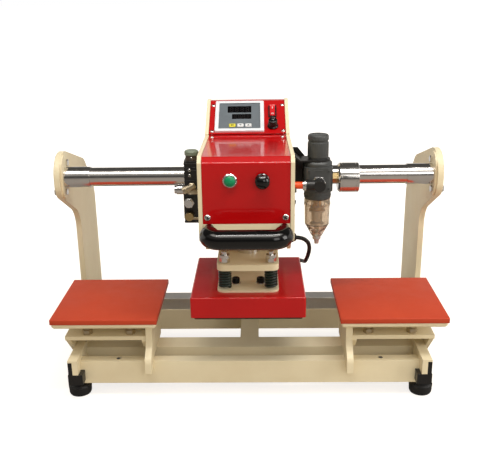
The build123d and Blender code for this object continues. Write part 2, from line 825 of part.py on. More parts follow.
# Pressure plate: it slides on the four guide bolts
guide_points = [(i * guide_spread[0], table_y + j * guide_spread[1]) for i in (-1, 1) for j in (-1, 1)]
with BuildPart() as pressure_plate:
    with BuildSketch(Plane.XY.offset(press_plate_bottom)):
        with Locations((0, table_y)):
            RectangleRounded(press_plate_x, press_plate_y, press_corner_r)
        with Locations(*guide_points):
            Circle(guide_bolt_r + 0.4, mode=Mode.SUBTRACT)
    extrude(amount=press_plate_thickness)
    chamfer(pressure_plate.faces().sort_by(Axis.Z)[-1].outer_wire().edges(), length=0.8)

pressure_plate.part.label = "pressure_plate"
export_step(pressure_plate.part, "parts/pressure_plate.step")

with BuildPart() as platen_lower_plate:
    with BuildSketch(Plane.XY.offset(cover_top)):
        with Locations((0, table_y)):
            RectangleRounded(press_plate_x, press_plate_y, press_corner_r)
        with Locations(*guide_points):
            Circle(guide_bolt_r + 0.1, mode=Mode.SUBTRACT)
    extrude(amount=lower_plate_thickness)

platen_lower_plate.part.label = "platen_lower_plate"
export_step(platen_lower_plate.part, "parts/platen_lower_plate.step")

# Guide bolts with their lock nuts above the pressure plate
with BuildPart() as guide_bolt_builder:
    with BuildSketch(Plane.XY.offset(cover_top)):
        Circle(guide_bolt_r)
    extrude(amount=guide_bolt_top - cover_top)
    with BuildSketch(Plane.XY.offset(press_plate_top + seat_gap)):
        RegularPolygon(nut_r, 6)
    extrude(amount=nut_height)
    with BuildSketch(Plane.XY.offset(press_plate_top + seat_gap + nut_height)):
        RegularPolygon(nut_r, 6, rotation=20)
    extrude(amount=nut_height - 2)
guide_bolt = guide_bolt_builder.part

with BuildPart() as guide_bolts:
    with Locations(*guide_points):
        add(guide_bolt)

guide_bolts.part.label = "guide_bolts"
export_step(guide_bolts.part, "parts/guide_bolts.step")

# Springs round the guide bolts: each is one unbroken wire, swept along arcs of a quarter turn
spring_r = spring_outer_r - wire_r
spring_low = lower_plate_top + wire_r + 0.2
spring_high = press_plate_bottom - wire_r - 0.2
quarters = int(round(spring_turns * 4))
end_rise = 0.92


def spring_height(quarter):
    """Height of the wire's centre: nearly closed end turns and open turns between them."""
    end_quarters = 3
    open_quarters = quarters - 2 * end_quarters
    open_rise = (spring_high - spring_low - 2 * end_quarters * end_rise) / open_quarters
    low_part = min(quarter, end_quarters) * end_rise
    open_part = min(max(quarter - end_quarters, 0), open_quarters) * open_rise
    high_part = max(quarter - end_quarters - open_quarters, 0) * end_rise
    return spring_low + low_part + open_part + high_part


def spring_point(quarter):
    angle = quarter * pi / 2
    return Vector(spring_r * cos(angle), spring_r * sin(angle), spring_height(quarter))


with BuildPart() as spring_builder:
    with BuildLine() as spring_line:
        heading = Vector(0, spring_r * pi / 2, end_rise)
        for quarter in range(quarters):
            arc = TangentArc(spring_point(quarter), spring_point(quarter + 1), tangent=heading)
            heading = arc % 1
    with BuildSketch(Plane(origin=spring_line.line @ 0, z_dir=spring_line.line % 0)):
        RegularPolygon(wire_r, 8)
    sweep()
plate_spring = spring_builder.part

turn_samples = [spring_line.line @ (i / (quarters * 6)) for i in range(quarters * 6 + 1)]
turn_length = len(turn_samples) / spring_turns
least_gap = min(
    (turn_samples[i] - turn_samples[j]).length
    for i in range(len(turn_samples))
    for j in range(i + int(turn_length * 0.6), len(turn_samples))
) - 2 * wire_r
print("spring: least gap to itself", round(least_gap, 2))

with BuildPart() as plate_springs:
    with Locations(*guide_points):
        add(plate_spring)

plate_springs.part.label = "plate_springs"
export_step(plate_springs.part, "parts/plate_springs.step")

# Platen: a cast heating plate on four posts under a folded sheet cover
with BuildPart() as heating_plate:
    with BuildSketch(Plane.XY.offset(platen_bottom)):
        with Locations((0, table_y)):
            RectangleRounded(heating_size, heating_size, heating_corner_r)
    extrude(amount=heating_thickness)
    with BuildSketch(Plane.XY.offset(platen_bottom + heating_thickness)):
        with Locations((0, table_y)):
            with GridLocations(heating_size - 2 * heating_post_inset, heating_size - 2 * heating_post_inset, 2, 2):
                Circle(heating_post_r)
    extrude(amount=cover_top - sheet - platen_bottom - heating_thickness)

heating_plate.part.label = "heating_plate"
export_step(heating_plate.part, "parts/heating_plate.step")

platen_gland = (42.0, cover_top - 15.5)
with BuildPart() as platen_cover:
    with BuildSketch(Plane.XY.offset(cover_bottom)):
        with Locations((0, table_y)):
            RectangleRounded(cover_size_x, cover_size_y, cover_bend)
    extrude(amount=cover_height)
    fillet(platen_cover.faces().sort_by(Axis.Z)[-1].edges(), radius=cover_bend - 0.2)
    with BuildSketch(Plane.XY.offset(cover_bottom)):
        with Locations((0, table_y)):
            RectangleRounded(cover_size_x - 2 * sheet, cover_size_y - 2 * sheet, 1.0)
    extrude(amount=cover_height - sheet, mode=Mode.SUBTRACT)
    with BuildSketch(Plane.XZ.offset(-(table_y + cover_size_y / 2))):
        with Locations(platen_gland):
            Circle(gland_shank_r + bolt_gap)
    extrude(amount=2 * sheet, both=True, mode=Mode.SUBTRACT)

# Controller: a bezel, a recessed face with two display windows, and the body behind the panel
bezel_height = 3.0
face_drop = 1.2
key_size = (9.2, 7.2)
key_places = [(-10.4, -22.3), (1.5, -22.3), (13.1, -22.3)]
display_boxes = [(-0.35, 16.4, 35.3, 15.7), (3.05, -0.9, 28.5, 11.6)]
with BuildPart() as controller_case:
    with BuildSketch(panel_plane):
        with Locations((controller_x, controller_at)):
            RectangleRounded(controller_size, controller_size, 2)
    extrude(amount=bezel_height)
    with BuildSketch(panel_plane.offset(bezel_height)):
        with Locations((controller_x, controller_at)):
            RectangleRounded(controller_size - 11, controller_size - 11, 1)
    extrude(amount=-face_drop, mode=Mode.SUBTRACT)
    with BuildSketch(panel_plane.offset(-38)):
        with Locations((controller_x, controller_at)):
            Rectangle(controller_body, controller_body)
    extrude(amount=38)
    with BuildSketch(panel_plane.offset(bezel_height - face_drop)):
        for dx, dw, width, height in display_boxes:
            with Locations((controller_x + dx, controller_at + dw)):
                Rectangle(width, height)
    extrude(amount=-0.6, mode=Mode.SUBTRACT)
    with BuildSketch(panel_plane.offset(bezel_height - face_drop)):
        for dx, dw in key_places:
            with Locations((controller_x + dx, controller_at + dw)):
                Rectangle(key_size[0] + 0.6, key_size[1] + 0.6)
    extrude(amount=-2.6, mode=Mode.SUBTRACT)

controller_case.part.label = "controller_case"
export_step(controller_case.part, "parts/controller_case.step")

key_names = ["key_set", "key_down", "key_up"]
for key_name, (dx, dw) in zip(key_names, key_places):
    with BuildPart() as controller_key:
        with BuildSketch(panel_plane.offset(bezel_height - face_drop - 1.6)):
            with Locations((controller_x + dx, controller_at + dw)):
                RectangleRounded(key_size[0], key_size[1], 1)
        extrude(amount=2.6)
        fillet(controller_key.faces().sort_by(Axis.Z)[-1].edges(), radius=0.5)
    controller_key.part.label = key_name
    export_step(controller_key.part, f"parts/{key_name}.step")

# Push button bezels, caps and their travel
bezel_r = 9.2
bezel_rise = 3.0
cap_r = 6.9
black_cap_r = 9.0
with BuildPart() as button_bezels:
    with BuildSketch(Plane.XZ.offset(-(head_front_y))):
        with Locations(*[(side * button_x, button_z) for side in (-1, 1)]):
            Circle(bezel_r)
    extrude(amount=bezel_rise)
    chamfer(button_bezels.faces().filter_by(Axis.Y).sort_by(Axis.Y)[0:2].edges(), length=1.2)
    with BuildSketch(Plane.XZ.offset(-(head_front_y))):
        with Locations(*[(side * button_x, button_z) for side in (-1, 1)]):
            Circle(bezel_shank_r)
    extrude(amount=-18)
    with BuildSketch(Plane.XZ.offset(-(head_front_y + 14))):
        with Locations((-button_x, button_z)):
            Circle(cap_r - 0.9)
        with Locations((button_x, button_z)):
            Circle(4.3)
    extrude(amount=14 + bezel_rise, mode=Mode.SUBTRACT)
    with BuildSketch(Plane.XZ.offset(-(head_front_y - bezel_rise))):
        with Locations((-button_x, button_z)):
            Circle(cap_r + 0.3)
    extrude(amount=-bezel_rise, mode=Mode.SUBTRACT)

button_bezels.part.label = "button_bezels"
export_step(button_bezels.part, "parts/button_bezels.step")

button_travel = 3.0
with BuildPart() as start_button:
    with BuildSketch(Plane.XY):
        with BuildLine():
            Polyline((0, 7.2), (0, -11), (cap_r - 1.3, -11), (cap_r - 1.3, 3.4), (cap_r, 3.4), (cap_r, 4.6))
            ThreePointArc(*dome(cap_r, 4.6, 2.6))
        make_face()
    revolve(axis=Axis.Y)
start_button_placed = start_button.part.rotate(Axis.X, 180).moved(Location((-button_x, head_front_y, button_z)))
start_button_placed.label = "start_button"
export_step(start_button_placed, "parts/start_button.step")

with BuildPart() as black_button:
    with BuildSketch(Plane.XY):
        with BuildLine():
            Polyline(
                (0, 15.5),
                (0, -10),
                (4.0, -10),
                (4.0, 6.4),
                (black_cap_r - 2, 6.4),
                (black_cap_r, 8.4),
                (black_cap_r, 10.5),
            )
            ThreePointArc(*dome(black_cap_r, 10.5, 5.0))
        make_face()
    revolve(axis=Axis.Y)
black_button_placed = black_button.part.rotate(Axis.X, 180).moved(Location((button_x, head_front_y, button_z)))
black_button_placed.label = "black_button"
export_step(black_button_placed, "parts/black_button.step")

# Switch housings: the panel rocker, the power rocker and the fuse holder on the right side
power_y = -85.0
power_z = shaft_z - 20.0
power_size = (14.0, 24.0)
fuse_z = shaft_z + 4.5
pivot_pin_r = 0.9
rocker_pivot = 0.6
power_pivot_x = 1.7
with BuildPart() as switch_housings:
    with BuildSketch(panel_plane):
        with Locations((rocker_x, rocker_at)):
            RectangleRounded(rocker_size[0], rocker_size[1], 1)
    extrude(amount=2.0)
    with BuildSketch(panel_plane.offset(-14)):
        with Locations((rocker_x, rocker_at)):
            Rectangle(rocker_size[0] - 2, rocker_size[1] - 2)
    extrude(amount=14)
    with BuildSketch(panel_plane.offset(2.0)):
        with Locations((rocker_x, rocker_at)):
            Rectangle(rocker_size[0] - 3.4, rocker_size[1] - 3.4)
    extrude(amount=-9, mode=Mode.SUBTRACT)
    panel_pivot = panel_plane.location * Location((rocker_x, rocker_at, rocker_pivot), (0, 90, 0))
    add(Cylinder(pivot_pin_r, rocker_size[0] - 2.2, mode=Mode.PRIVATE).moved(panel_pivot))
    with BuildSketch(Plane.YZ.offset(head_outer)):
        with Locations((power_y, power_z)):
            RectangleRounded(power_size[0], power_size[1], 1)
            Rectangle(power_size[0] - 3, power_size[1] - 3, mode=Mode.SUBTRACT)
    extrude(amount=2.4)
    power_pivot = Location((head_outer + power_pivot_x, power_y, power_z), (90, 0, 0))
    add(Cylinder(pivot_pin_r - 0.3, power_size[0] - 2.2, mode=Mode.PRIVATE).moved(power_pivot))
    with BuildSketch(Plane.YZ.offset(head_outer)):
        with Locations((power_y, fuse_z)):
            Circle(5)
    extrude(amount=2)
    with BuildSketch(Plane.YZ.offset(head_outer)):
        with Locations((power_y, fuse_z)):
            Circle(3.4)
    extrude(amount=5.5)

switch_housings.part.label = "switch_housings"
export_step(switch_housings.part, "parts/switch_housings.step")

# Rockers: each rocks about a pin across its middle
rocker_tilt = 7.0
with BuildPart() as panel_rocker_builder:
    with BuildSketch(Plane.YZ.offset(-(rocker_size[0] - 4.2) / 2)):
        with BuildLine():
            half = rocker_size[1] / 2 - 2.6
            Polyline((0, -4.2), (-half, 0.4), (-half, 3.6))
            ThreePointArc((-half, 3.6), (0, 1.9), (half, 3.6))
            Polyline((half, 3.6), (half, 0.4), (0, -4.2))
        make_face()
        Circle(pivot_pin_r + running_gap, mode=Mode.SUBTRACT)
    extrude(amount=rocker_size[0] - 4.2)
panel_rocker_body = panel_rocker_builder.part.rotate(Axis.X, rocker_tilt)
panel_rocker_placed = panel_plane.location * Location((rocker_x, rocker_at, rocker_pivot)) * panel_rocker_body
panel_rocker_placed.label = "panel_rocker"
export_step(panel_rocker_placed, "parts/panel_rocker.step")

with BuildPart() as power_rocker_builder:
    with BuildSketch(Plane.XZ.offset(-(power_size[0] - 4) / 2)):
        with BuildLine():
            half_power = power_size[1] / 2 - 2.2
            Polyline((2.6, half_power), (-0.1, half_power), (-1.4, 0), (-0.1, -half_power), (2.6, -half_power))
            ThreePointArc((2.6, -half_power), (1.4, 0), (2.6, half_power))
        make_face()
        Circle(pivot_pin_r - 0.3 + running_gap, mode=Mode.SUBTRACT)
    extrude(amount=power_size[0] - 4)
power_rocker_body = power_rocker_builder.part.rotate(Axis.Y, rocker_tilt / 2)
power_rocker_placed = power_rocker_body.moved(Location((head_outer + power_pivot_x, power_y, power_z)))
power_rocker_placed.label = "power_rocker"
export_step(power_rocker_placed, "parts/power_rocker.step")

# Rotary knob: a tapered skirted knob on a shaft through the panel
knob_r = 8.0
knob_height = 12.5
with BuildPart() as rotary_knob_builder:
    with BuildSketch(Plane.XZ):
        with BuildLine():
            FilletPolyline(
                (0, -6),
                (3.0, -6),
                (3.0, 0.6),
                (knob_r, 0.6),
                (knob_r, 2.4),
                (knob_r - 1.2, 3.4),
                (knob_r - 1.8, knob_height),
                (0, knob_height),
                radius=[0, 0, 0, 0.4, 0.4, 0.4, 1.0, 0],
                close=True,
            )
        make_face()
    revolve(axis=Axis.Z)
    with BuildSketch(Plane.XY.offset(knob_height)):
        with Locations((0, knob_r / 2 - 0.4)):
            Rectangle(1.2, knob_r - 2.6)
    extrude(amount=-0.6, mode=Mode.SUBTRACT)
rotary_knob_placed = panel_plane.location * Location((knob_x, knob_at, 0)) * rotary_knob_builder.part
rotary_knob_placed.label = "rotary_knob"
export_step(rotary_knob_placed, "parts/rotary_knob.step")

# Pull handle: a thick grip that bends back into two slimmer legs
grip_r = 12.5
grip_y = -196.0
grip_z = head_bottom + 18.4
grip_half = 46.0
grip_bend = 14.5
leg_x = 48.0
leg_r = 6.5
leg_start_y = grip_y + grip_bend + 3
with BuildPart() as pull_handle:
    with BuildLine() as grip_line:
        FilletPolyline(
            (-grip_half, leg_start_y, grip_z),
            (-grip_half, grip_y, grip_z),
            (grip_half, grip_y, grip_z),
            (grip_half, leg_start_y, grip_z),
            radius=grip_bend,
        )
    with BuildSketch(Plane(origin=grip_line.line @ 0, z_dir=grip_line.line % 0)):
        Circle(grip_r)
    sweep()
    for side in (-1, 1):
        with BuildSketch(Plane.XZ.offset(-leg_start_y)):
            with Locations((side * grip_half, grip_z)):
                Circle(grip_r)
        with BuildSketch(Plane.XZ.offset(-(head_front_y - 6))):
            with Locations((side * leg_x, grip_z)):
                Circle(leg_r)
        loft()
        with BuildSketch(Plane.XZ.offset(-(head_front_y - 6))):
            with Locations((side * leg_x, grip_z)):
                Circle(leg_r)
        extrude(amount=-6)

pull_handle.part.label = "pull_handle"
export_step(pull_handle.part, "parts/pull_handle.step")

# Cover screws: front cover, control panel and rear cover
cover_screw = button_screw(cover_hole_r - 0.2, 5.0, 4.2, 2.6)
panel_screw = button_screw(cover_hole_r - 0.2, 4.0, 2.9, 1.8)
with BuildPart() as cover_screws:
    with Locations(*[Location((x, head_front_y, z), (90, 0, 0)) for x, z in cover_screw_points]):
        add(cover_screw)
    with Locations(*[panel_plane.location * Location((x, w, 0)) for x, w in panel_screw_points]):
        add(panel_screw)
    with Locations(*[Location((x, head_back_y, z), (-90, 0, 0)) for x, z in rear_screw_points]):
        add(panel_screw)

cover_screws.part.label = "cover_screws"
export_step(cover_screws.part, "parts/cover_screws.step")

# Filter regulator on the right of the head: its axis is upright
reg_x = 98.5
reg_y = table_y + 3.0
reg_half = 20.0
reg_top = shaft_z + 36.0
reg_bottom = shaft_z - 18.0
neck_r = 13.4
bowl_r = 17.8
bowl_bottom = reg_bottom - 56.0
reg_knob_r = 14.6
reg_knob_top = reg_top + 36.4
inlet_z = shaft_z + 8.0
inlet_r = 5.7
inlet_depth = 12.0
inlet_bore_r = 4.05
inlet_bore_length = 13.0
with BuildPart() as regulator_body:
    with BuildSketch(Plane.XY.offset(reg_bottom + 13)):
        with Locations((reg_x, reg_y)):
            RectangleRounded(2 * reg_half, 2 * reg_half, 9)
    extrude(amount=reg_top - reg_bottom - 20)
    with BuildSketch(Plane.XY.offset(reg_bottom)):
        with Locations((reg_x, reg_y)):
            Circle(reg_half - 1.2)
    extrude(amount=13.5)
    chamfer(regulator_body.faces().sort_by(Axis.Z)[0].edges(), length=1.5)
    with BuildSketch(Plane.XY.offset(reg_top - 7)):
        with Locations((reg_x, reg_y)):
            Circle(reg_half - 0.6)
    extrude(amount=7)
    chamfer(regulator_body.faces().sort_by(Axis.Z)[-1].edges(), length=2.0)
    with BuildSketch(Plane.XY.offset(reg_top - 1)):
        with Locations((reg_x, reg_y)):
            Circle(neck_r)
    extrude(amount=5)
    with BuildSketch(Plane.XZ.offset(-(reg_y + reg_half - 2))):
        with Locations((reg_x, inlet_z)):
            Circle(9)
    extrude(amount=-4)
    with BuildSketch(Plane.XZ.offset(-(reg_y + reg_half + 2 - inlet_depth))):
        with Locations((reg_x, inlet_z)):
            Circle(inlet_r)
    extrude(amount=-inlet_depth, mode=Mode.SUBTRACT)

regulator_body.part.label = "regulator_body"
export_step(regulator_body.part, "parts/regulator_body.step")

# Regulator bowl: a clear cup that narrows to the drain
drain_r = 4.2
bowl_wall = 2.0
with BuildPart() as regulator_bowl:
    with BuildSketch(Plane.XZ):
        with BuildLine():
            Polyline(
                (drain_r + 0.1, bowl_bottom),
                (7.5, bowl_bottom),
                (bowl_r - 4.5, bowl_bottom + 11),
                (bowl_r - 0.6, bowl_bottom + 18),
                (bowl_r, reg_bottom - 10),
                (bowl_r, reg_bottom),
                (bowl_r - bowl_wall, reg_bottom),
                (bowl_r - bowl_wall - 0.4, bowl_bottom + 19),
                (bowl_r - 6.5, bowl_bottom + 13),
                (drain_r + 0.1, bowl_bottom + 4),
                close=True,
            )
        make_face()
    revolve(axis=Axis.Z)
regulator_bowl_placed = regulator_bowl.part.moved(Location((reg_x, reg_y, 0)))
regulator_bowl_placed.label = "regulator_bowl"
export_step(regulator_bowl_placed, "parts/regulator_bowl.step")

with BuildPart() as filter_element_builder:
    with BuildSketch(Plane.XZ):
        with BuildLine():
            Polyline(
                (0, reg_bottom),
                (6.5, reg_bottom),
                (6.5, reg_bottom - 16),
                (11.5, reg_bottom - 17),
                (11.5, reg_bottom - 19),
                (8.0, reg_bottom - 20),
                (7.5, reg_bottom - 34),
                (3.0, reg_bottom - 36),
                (0, reg_bottom - 36),
                close=True,
            )
        make_face()
    revolve(axis=Axis.Z)
filter_element_placed = filter_element_builder.part.moved(Location((reg_x, reg_y, 0)))
filter_element_placed.label = "filter_element"
export_step(filter_element_placed, "parts/filter_element.step")

with BuildPart() as drain_valve_builder:
    with BuildSketch(Plane.XZ):
        with BuildLine():
            Polyline(
                (0, bowl_bottom - 12.4),
                (3.0, bowl_bottom - 12.4),
                (3.6, bowl_bottom - 7),
                (5.8, bowl_bottom - 5),
                (5.8, bowl_bottom - 0.3),
                (drain_r, bowl_bottom - 0.3),
                (drain_r, bowl_bottom + 5),
                (0, bowl_bottom + 5),
                close=True,
            )
        make_face()
    revolve(axis=Axis.Z)
drain_valve_placed = drain_valve_builder.part.moved(Location((reg_x, reg_y, 0)))
drain_valve_placed.label = "drain_valve"
export_step(drain_valve_placed, "parts/drain_valve.step")

with BuildPart() as regulator_knob_builder:
    with BuildSketch(Plane.XZ):
        with BuildLine():
            FilletPolyline(
                (0, reg_top + 4.4),
                (reg_knob_r - 0.6, reg_top + 4.4),
                (reg_knob_r, reg_top + 24),
                (reg_knob_r - 1.2, reg_top + 26),
                (reg_knob_r - 1.2, reg_top + 29),
                (reg_knob_r - 0.2, reg_top + 30),
                (reg_knob_r - 0.2, reg_knob_top),
                (0, reg_knob_top),
                radius=[0, 0.4, 0.5, 0.4, 0.4, 0.3, 1.2, 0],
                close=True,
            )
        make_face()
    revolve(axis=Axis.Z)
regulator_knob_placed = regulator_knob_builder.part.moved(Location((reg_x, reg_y, 0)))
regulator_knob_placed.label = "regulator_knob"
export_step(regulator_knob_placed, "parts/regulator_knob.step")

# Regulator bracket: a leg on the head and a collar plate round the regulator's neck
plate_x = head_outer
collar_z = reg_top + seat_gap
bracket_rise = 55.0
with BuildPart() as regulator_bracket:
    with BuildSketch(Plane.YZ.offset(plate_x)):
        with Locations((reg_y - reg_half, shaft_z - 3)):
            RectangleRounded(2 * reg_half + 3, bracket_rise, 2, align=(Align.MIN, Align.MIN))
    extrude(amount=2.5)
    with BuildSketch(Plane.XZ.offset(-(reg_y + reg_half + 3))):
        with BuildLine():
            Polyline(
                (plate_x, shaft_z - 1),
                (plate_x + 22, shaft_z - 1),
                (plate_x + 22, collar_z - 1),
                (plate_x + 10, shaft_z - 5 + bracket_rise),
                (plate_x, shaft_z - 5 + bracket_rise),
                close=True,
            )
        make_face()
    extrude(amount=2.5)
    with BuildSketch(Plane.XZ.offset(-(reg_y - 15))):
        with BuildLine():
            Polyline(
                (plate_x + 2.0, collar_z + 8),
                (plate_x + 11, collar_z),
                (reg_x, collar_z),
                (reg_x, collar_z + 2.5),
                (plate_x + 12, collar_z + 2.5),
                (plate_x + 2.0, collar_z + 11.4),
                close=True,
            )
        make_face()
    extrude(amount=-30)
    with BuildSketch(Plane.XY.offset(collar_z)):
        with Locations((reg_x, reg_y)):
            Circle(17)
    extrude(amount=2.5)
    with BuildSketch(Plane.XY.offset(collar_z)):
        with Locations((reg_x, reg_y)):
            Circle(neck_r + bolt_gap)
    extrude(amount=2.5, mode=Mode.SUBTRACT)

regulator_bracket.part.label = "regulator_bracket"
export_step(regulator_bracket.part, "parts/regulator_bracket.step")

# Pressure gauge: its face looks to the right
gauge_x = reg_x + reg_half + 7.5
gauge_z = shaft_z + 11.0
gauge_r = 20.7
gauge_length = 29.0
gauge_rim_step = 0.8
face_x = gauge_x + gauge_length - 5.5
with BuildPart() as gauge_case:
    with BuildSketch(Plane.YZ.offset(gauge_x)):
        with Locations((reg_y, gauge_z)):
            Circle(gauge_r)
    extrude(amount=gauge_length)
    chamfer(gauge_case.faces().sort_by(Axis.X)[-1].edges(), length=gauge_rim_step)
    chamfer(gauge_case.faces().sort_by(Axis.X)[0].edges(), length=2.5)
    for groove_x in (gauge_x + 4.5, gauge_x + gauge_length - 5.0):
        with BuildSketch(Plane.YZ.offset(groove_x)):
            with Locations((reg_y, gauge_z)):
                Circle(gauge_r + 1)
                Circle(gauge_r - gauge_rim_step, mode=Mode.SUBTRACT)
        extrude(amount=1.0, mode=Mode.SUBTRACT)
    with BuildSketch(Plane.YZ.offset(face_x)):
        with Locations((reg_y, gauge_z)):
            Circle(gauge_r - 2)
    extrude(amount=8, mode=Mode.SUBTRACT)
    with BuildSketch(Plane.YZ.offset(face_x)):
        with Locations((reg_y, gauge_z)):
            Circle(1.0)
    extrude(amount=2.4)

gauge_case.part.label = "gauge_case"
export_step(gauge_case.part, "parts/gauge_case.step")

with BuildPart() as gauge_lens:
    with BuildSketch(Plane.YZ.offset(face_x + 3.0)):
        with Locations((reg_y, gauge_z)):
            Circle(gauge_r - 2.05)
    extrude(amount=1.2)

gauge_lens.part.label = "gauge_lens"
export_step(gauge_lens.part, "parts/gauge_lens.step")

needle_angle = 225.0
with BuildPart() as gauge_needle_builder:
    with BuildSketch():
        Circle(2.4)
        with BuildLine():
            Polyline((-4.5, -0.9), (15.0, -0.25), (15.0, 0.25), (-4.5, 0.9), close=True)
        make_face()
        Circle(1.0 + running_gap, mode=Mode.SUBTRACT)
    extrude(amount=0.7)
needle_body = gauge_needle_builder.part.rotate(Axis.Z, needle_angle)
gauge_needle_placed = Plane.YZ.offset(face_x + 1.3).location * Location((reg_y, gauge_z, 0)) * needle_body
gauge_needle_placed.label = "gauge_needle"
export_step(gauge_needle_placed, "parts/gauge_needle.step")

# Solenoid valve on the left of the head: a port block with an upright coil
valve_x = -(head_outer + seat_gap)
valve_y = table_y - 17.0
with BuildPart() as solenoid_valve:
    with BuildSketch(Plane.XY.offset(shaft_z - 43)):
        with Locations((valve_x, valve_y)):
            Rectangle(25, 30, align=(Align.MAX, Align.CENTER))
    extrude(amount=47)
    chamfer(solenoid_valve.edges().filter_by(Axis.Z), length=1.0)
    with BuildSketch(Plane.XY.offset(shaft_z + 4)):
        with Locations((valve_x - 4, valve_y)):
            RectangleRounded(20, 24, 2, align=(Align.MAX, Align.CENTER))
    extrude(amount=39)
    with BuildSketch(Plane.XZ.offset(-(valve_y - 12))):
        with Locations((valve_x - 14, shaft_z + 19)):
            RectangleRounded(16, 26, 1.5)
    extrude(amount=5)
    with BuildSketch(Plane.XY.offset(shaft_z + 43)):
        with Locations((valve_x - 14, valve_y)):
            Circle(8.4)
    extrude(amount=7)
    with BuildSketch(Plane.XY.offset(shaft_z + 50)):
        with Locations((valve_x - 14, valve_y)):
            Circle(9.6)
    extrude(amount=6)
    chamfer(solenoid_valve.faces().sort_by(Axis.Z)[-1].edges(), length=1.5)

solenoid_valve.part.label = "solenoid_valve"
export_step(solenoid_valve.part, "parts/solenoid_valve.step")

# Tube fittings: the regulator's elbow and gauge stem, and the valve's elbow, plug and silencer
elbow_y = tube_y
elbow_head_x = reg_x
valve_front_y = valve_y - 15.0
port_x = valve_x - 18.0
port_z = shaft_z + 3.0
port_bore_r = 4.05
port_bore_length = 14.0
inlet_arm_y = reg_y + reg_half + 8.0
with BuildPart() as tube_fittings:
    # regulator elbow: a round head on the front port and an arm towards the head
    with BuildSketch(Plane.XZ.offset(-(elbow_y - 8))):
        with Locations((elbow_head_x, tube_z)):
            Circle(8)
    extrude(amount=-(reg_y - reg_half - elbow_y + 8))
    with BuildSketch(Plane.YZ.offset(head_outer + 19)):
        with Locations((elbow_y, tube_z)):
            Circle(7)
    extrude(amount=elbow_head_x - head_outer - 19)
    with BuildSketch(Plane.YZ.offset(head_outer + 17)):
        with Locations((elbow_y, tube_z)):
            Circle(7.8)
    extrude(amount=2)
    with BuildSketch(Plane.YZ.offset(head_outer + 14.5)):
        with Locations((elbow_y, tube_z)):
            Circle(6.6)
    extrude(amount=2.5)
    with BuildSketch(Plane.YZ.offset(head_outer + 14.5)):
        with Locations((elbow_y, tube_z)):
            Circle(tube_r + 0.02)
    extrude(amount=12, mode=Mode.SUBTRACT)
    # brass hex stem between the regulator and the gauge
    with BuildSketch(Plane.YZ.offset(reg_x + reg_half)):
        with Locations((reg_y, gauge_z)):
            RegularPolygon(8, 6)
    extrude(amount=gauge_x - reg_x - reg_half)
    # straight fitting on the cylinder's side port
    with BuildSketch(Plane.YZ.offset(cylinder_size / 2)):
        with Locations((elbow_y, tube_z)):
            Circle(8)
            Circle(tube_r + 0.02, mode=Mode.SUBTRACT)
    extrude(amount=8)
    # supply elbow: screwed in the regulator's rear port, with a push-in arm that points up
    with BuildSketch(Plane.XZ.offset(-(reg_y + reg_half + 2))):
        with Locations((reg_x, inlet_z)):
            Circle(6.6)
    extrude(amount=-12)
    with BuildSketch(Plane.XZ.offset(-(reg_y + reg_half + 2))):
        with Locations((reg_x, inlet_z)):
            Circle(inlet_r - bolt_gap)
    extrude(amount=9)
    with BuildSketch(Plane.XY.offset(inlet_z)):
        with Locations((reg_x, inlet_arm_y)):
            Circle(5.8)
    extrude(amount=16)
    with BuildSketch(Plane.XY.offset(inlet_z + 16)):
        with Locations((reg_x, inlet_arm_y)):
            Circle(6.2)
    extrude(amount=2)
    with BuildSketch(Plane.XY.offset(inlet_z + 18)):
        with Locations((reg_x, inlet_arm_y)):
            Circle(5.4)
    extrude(amount=2.5)
    with BuildSketch(Plane.XY.offset(inlet_z + 20.5)):
        with Locations((reg_x, inlet_arm_y)):
            Circle(inlet_bore_r)
    extrude(amount=-inlet_bore_length, mode=Mode.SUBTRACT)
    # valve port: a push-in fitting that points to the left
    with BuildSketch(Plane.YZ.offset(valve_x - 25)):
        with Locations((valve_y - 8, port_z)):
            Circle(6.8)
    extrude(amount=-10)
    with BuildSketch(Plane.YZ.offset(valve_x - 35)):
        with Locations((valve_y - 8, port_z)):
            Circle(5.6)
    extrude(amount=-3)
    with BuildSketch(Plane.YZ.offset(valve_x - 38)):
        with Locations((valve_y - 8, port_z)):
            Circle(port_bore_r)
    extrude(amount=port_bore_length - 1, mode=Mode.SUBTRACT)
    # front plug and silencer on the valve block
    with BuildSketch(Plane.XZ.offset(-valve_front_y)):
        with Locations((port_x, shaft_z - 13)):
            RegularPolygon(7.4, 6)
    extrude(amount=6)
    with BuildSketch(Plane.XZ.offset(-(valve_front_y - 6))):
        with Locations((port_x, shaft_z - 13)):
            Circle(5.4)
    extrude(amount=5)
    with BuildSketch(Plane.XZ.offset(-valve_front_y)):
        with Locations((port_x, shaft_z - 32)):
            Circle(5.8)
    extrude(amount=9)

tube_fittings.part.label = "tube_fittings"
export_step(tube_fittings.part, "parts/tube_fittings.step")

# Air tube: from the cylinder's port through the head plate to the regulator's elbow
tube_start = cylinder_size / 2 + 1.0
tube_end = head_outer + 25.0
with BuildPart() as air_tube:
    with BuildSketch(Plane.YZ.offset(tube_start)):
        with Locations((tube_y, tube_z)):
            Circle(tube_r)
            Circle(tube_r - 1.7, mode=Mode.SUBTRACT)
    extrude(amount=tube_end - tube_start)

air_tube.part.label = "air_tube"
export_step(air_tube.part, "parts/air_tube.step")

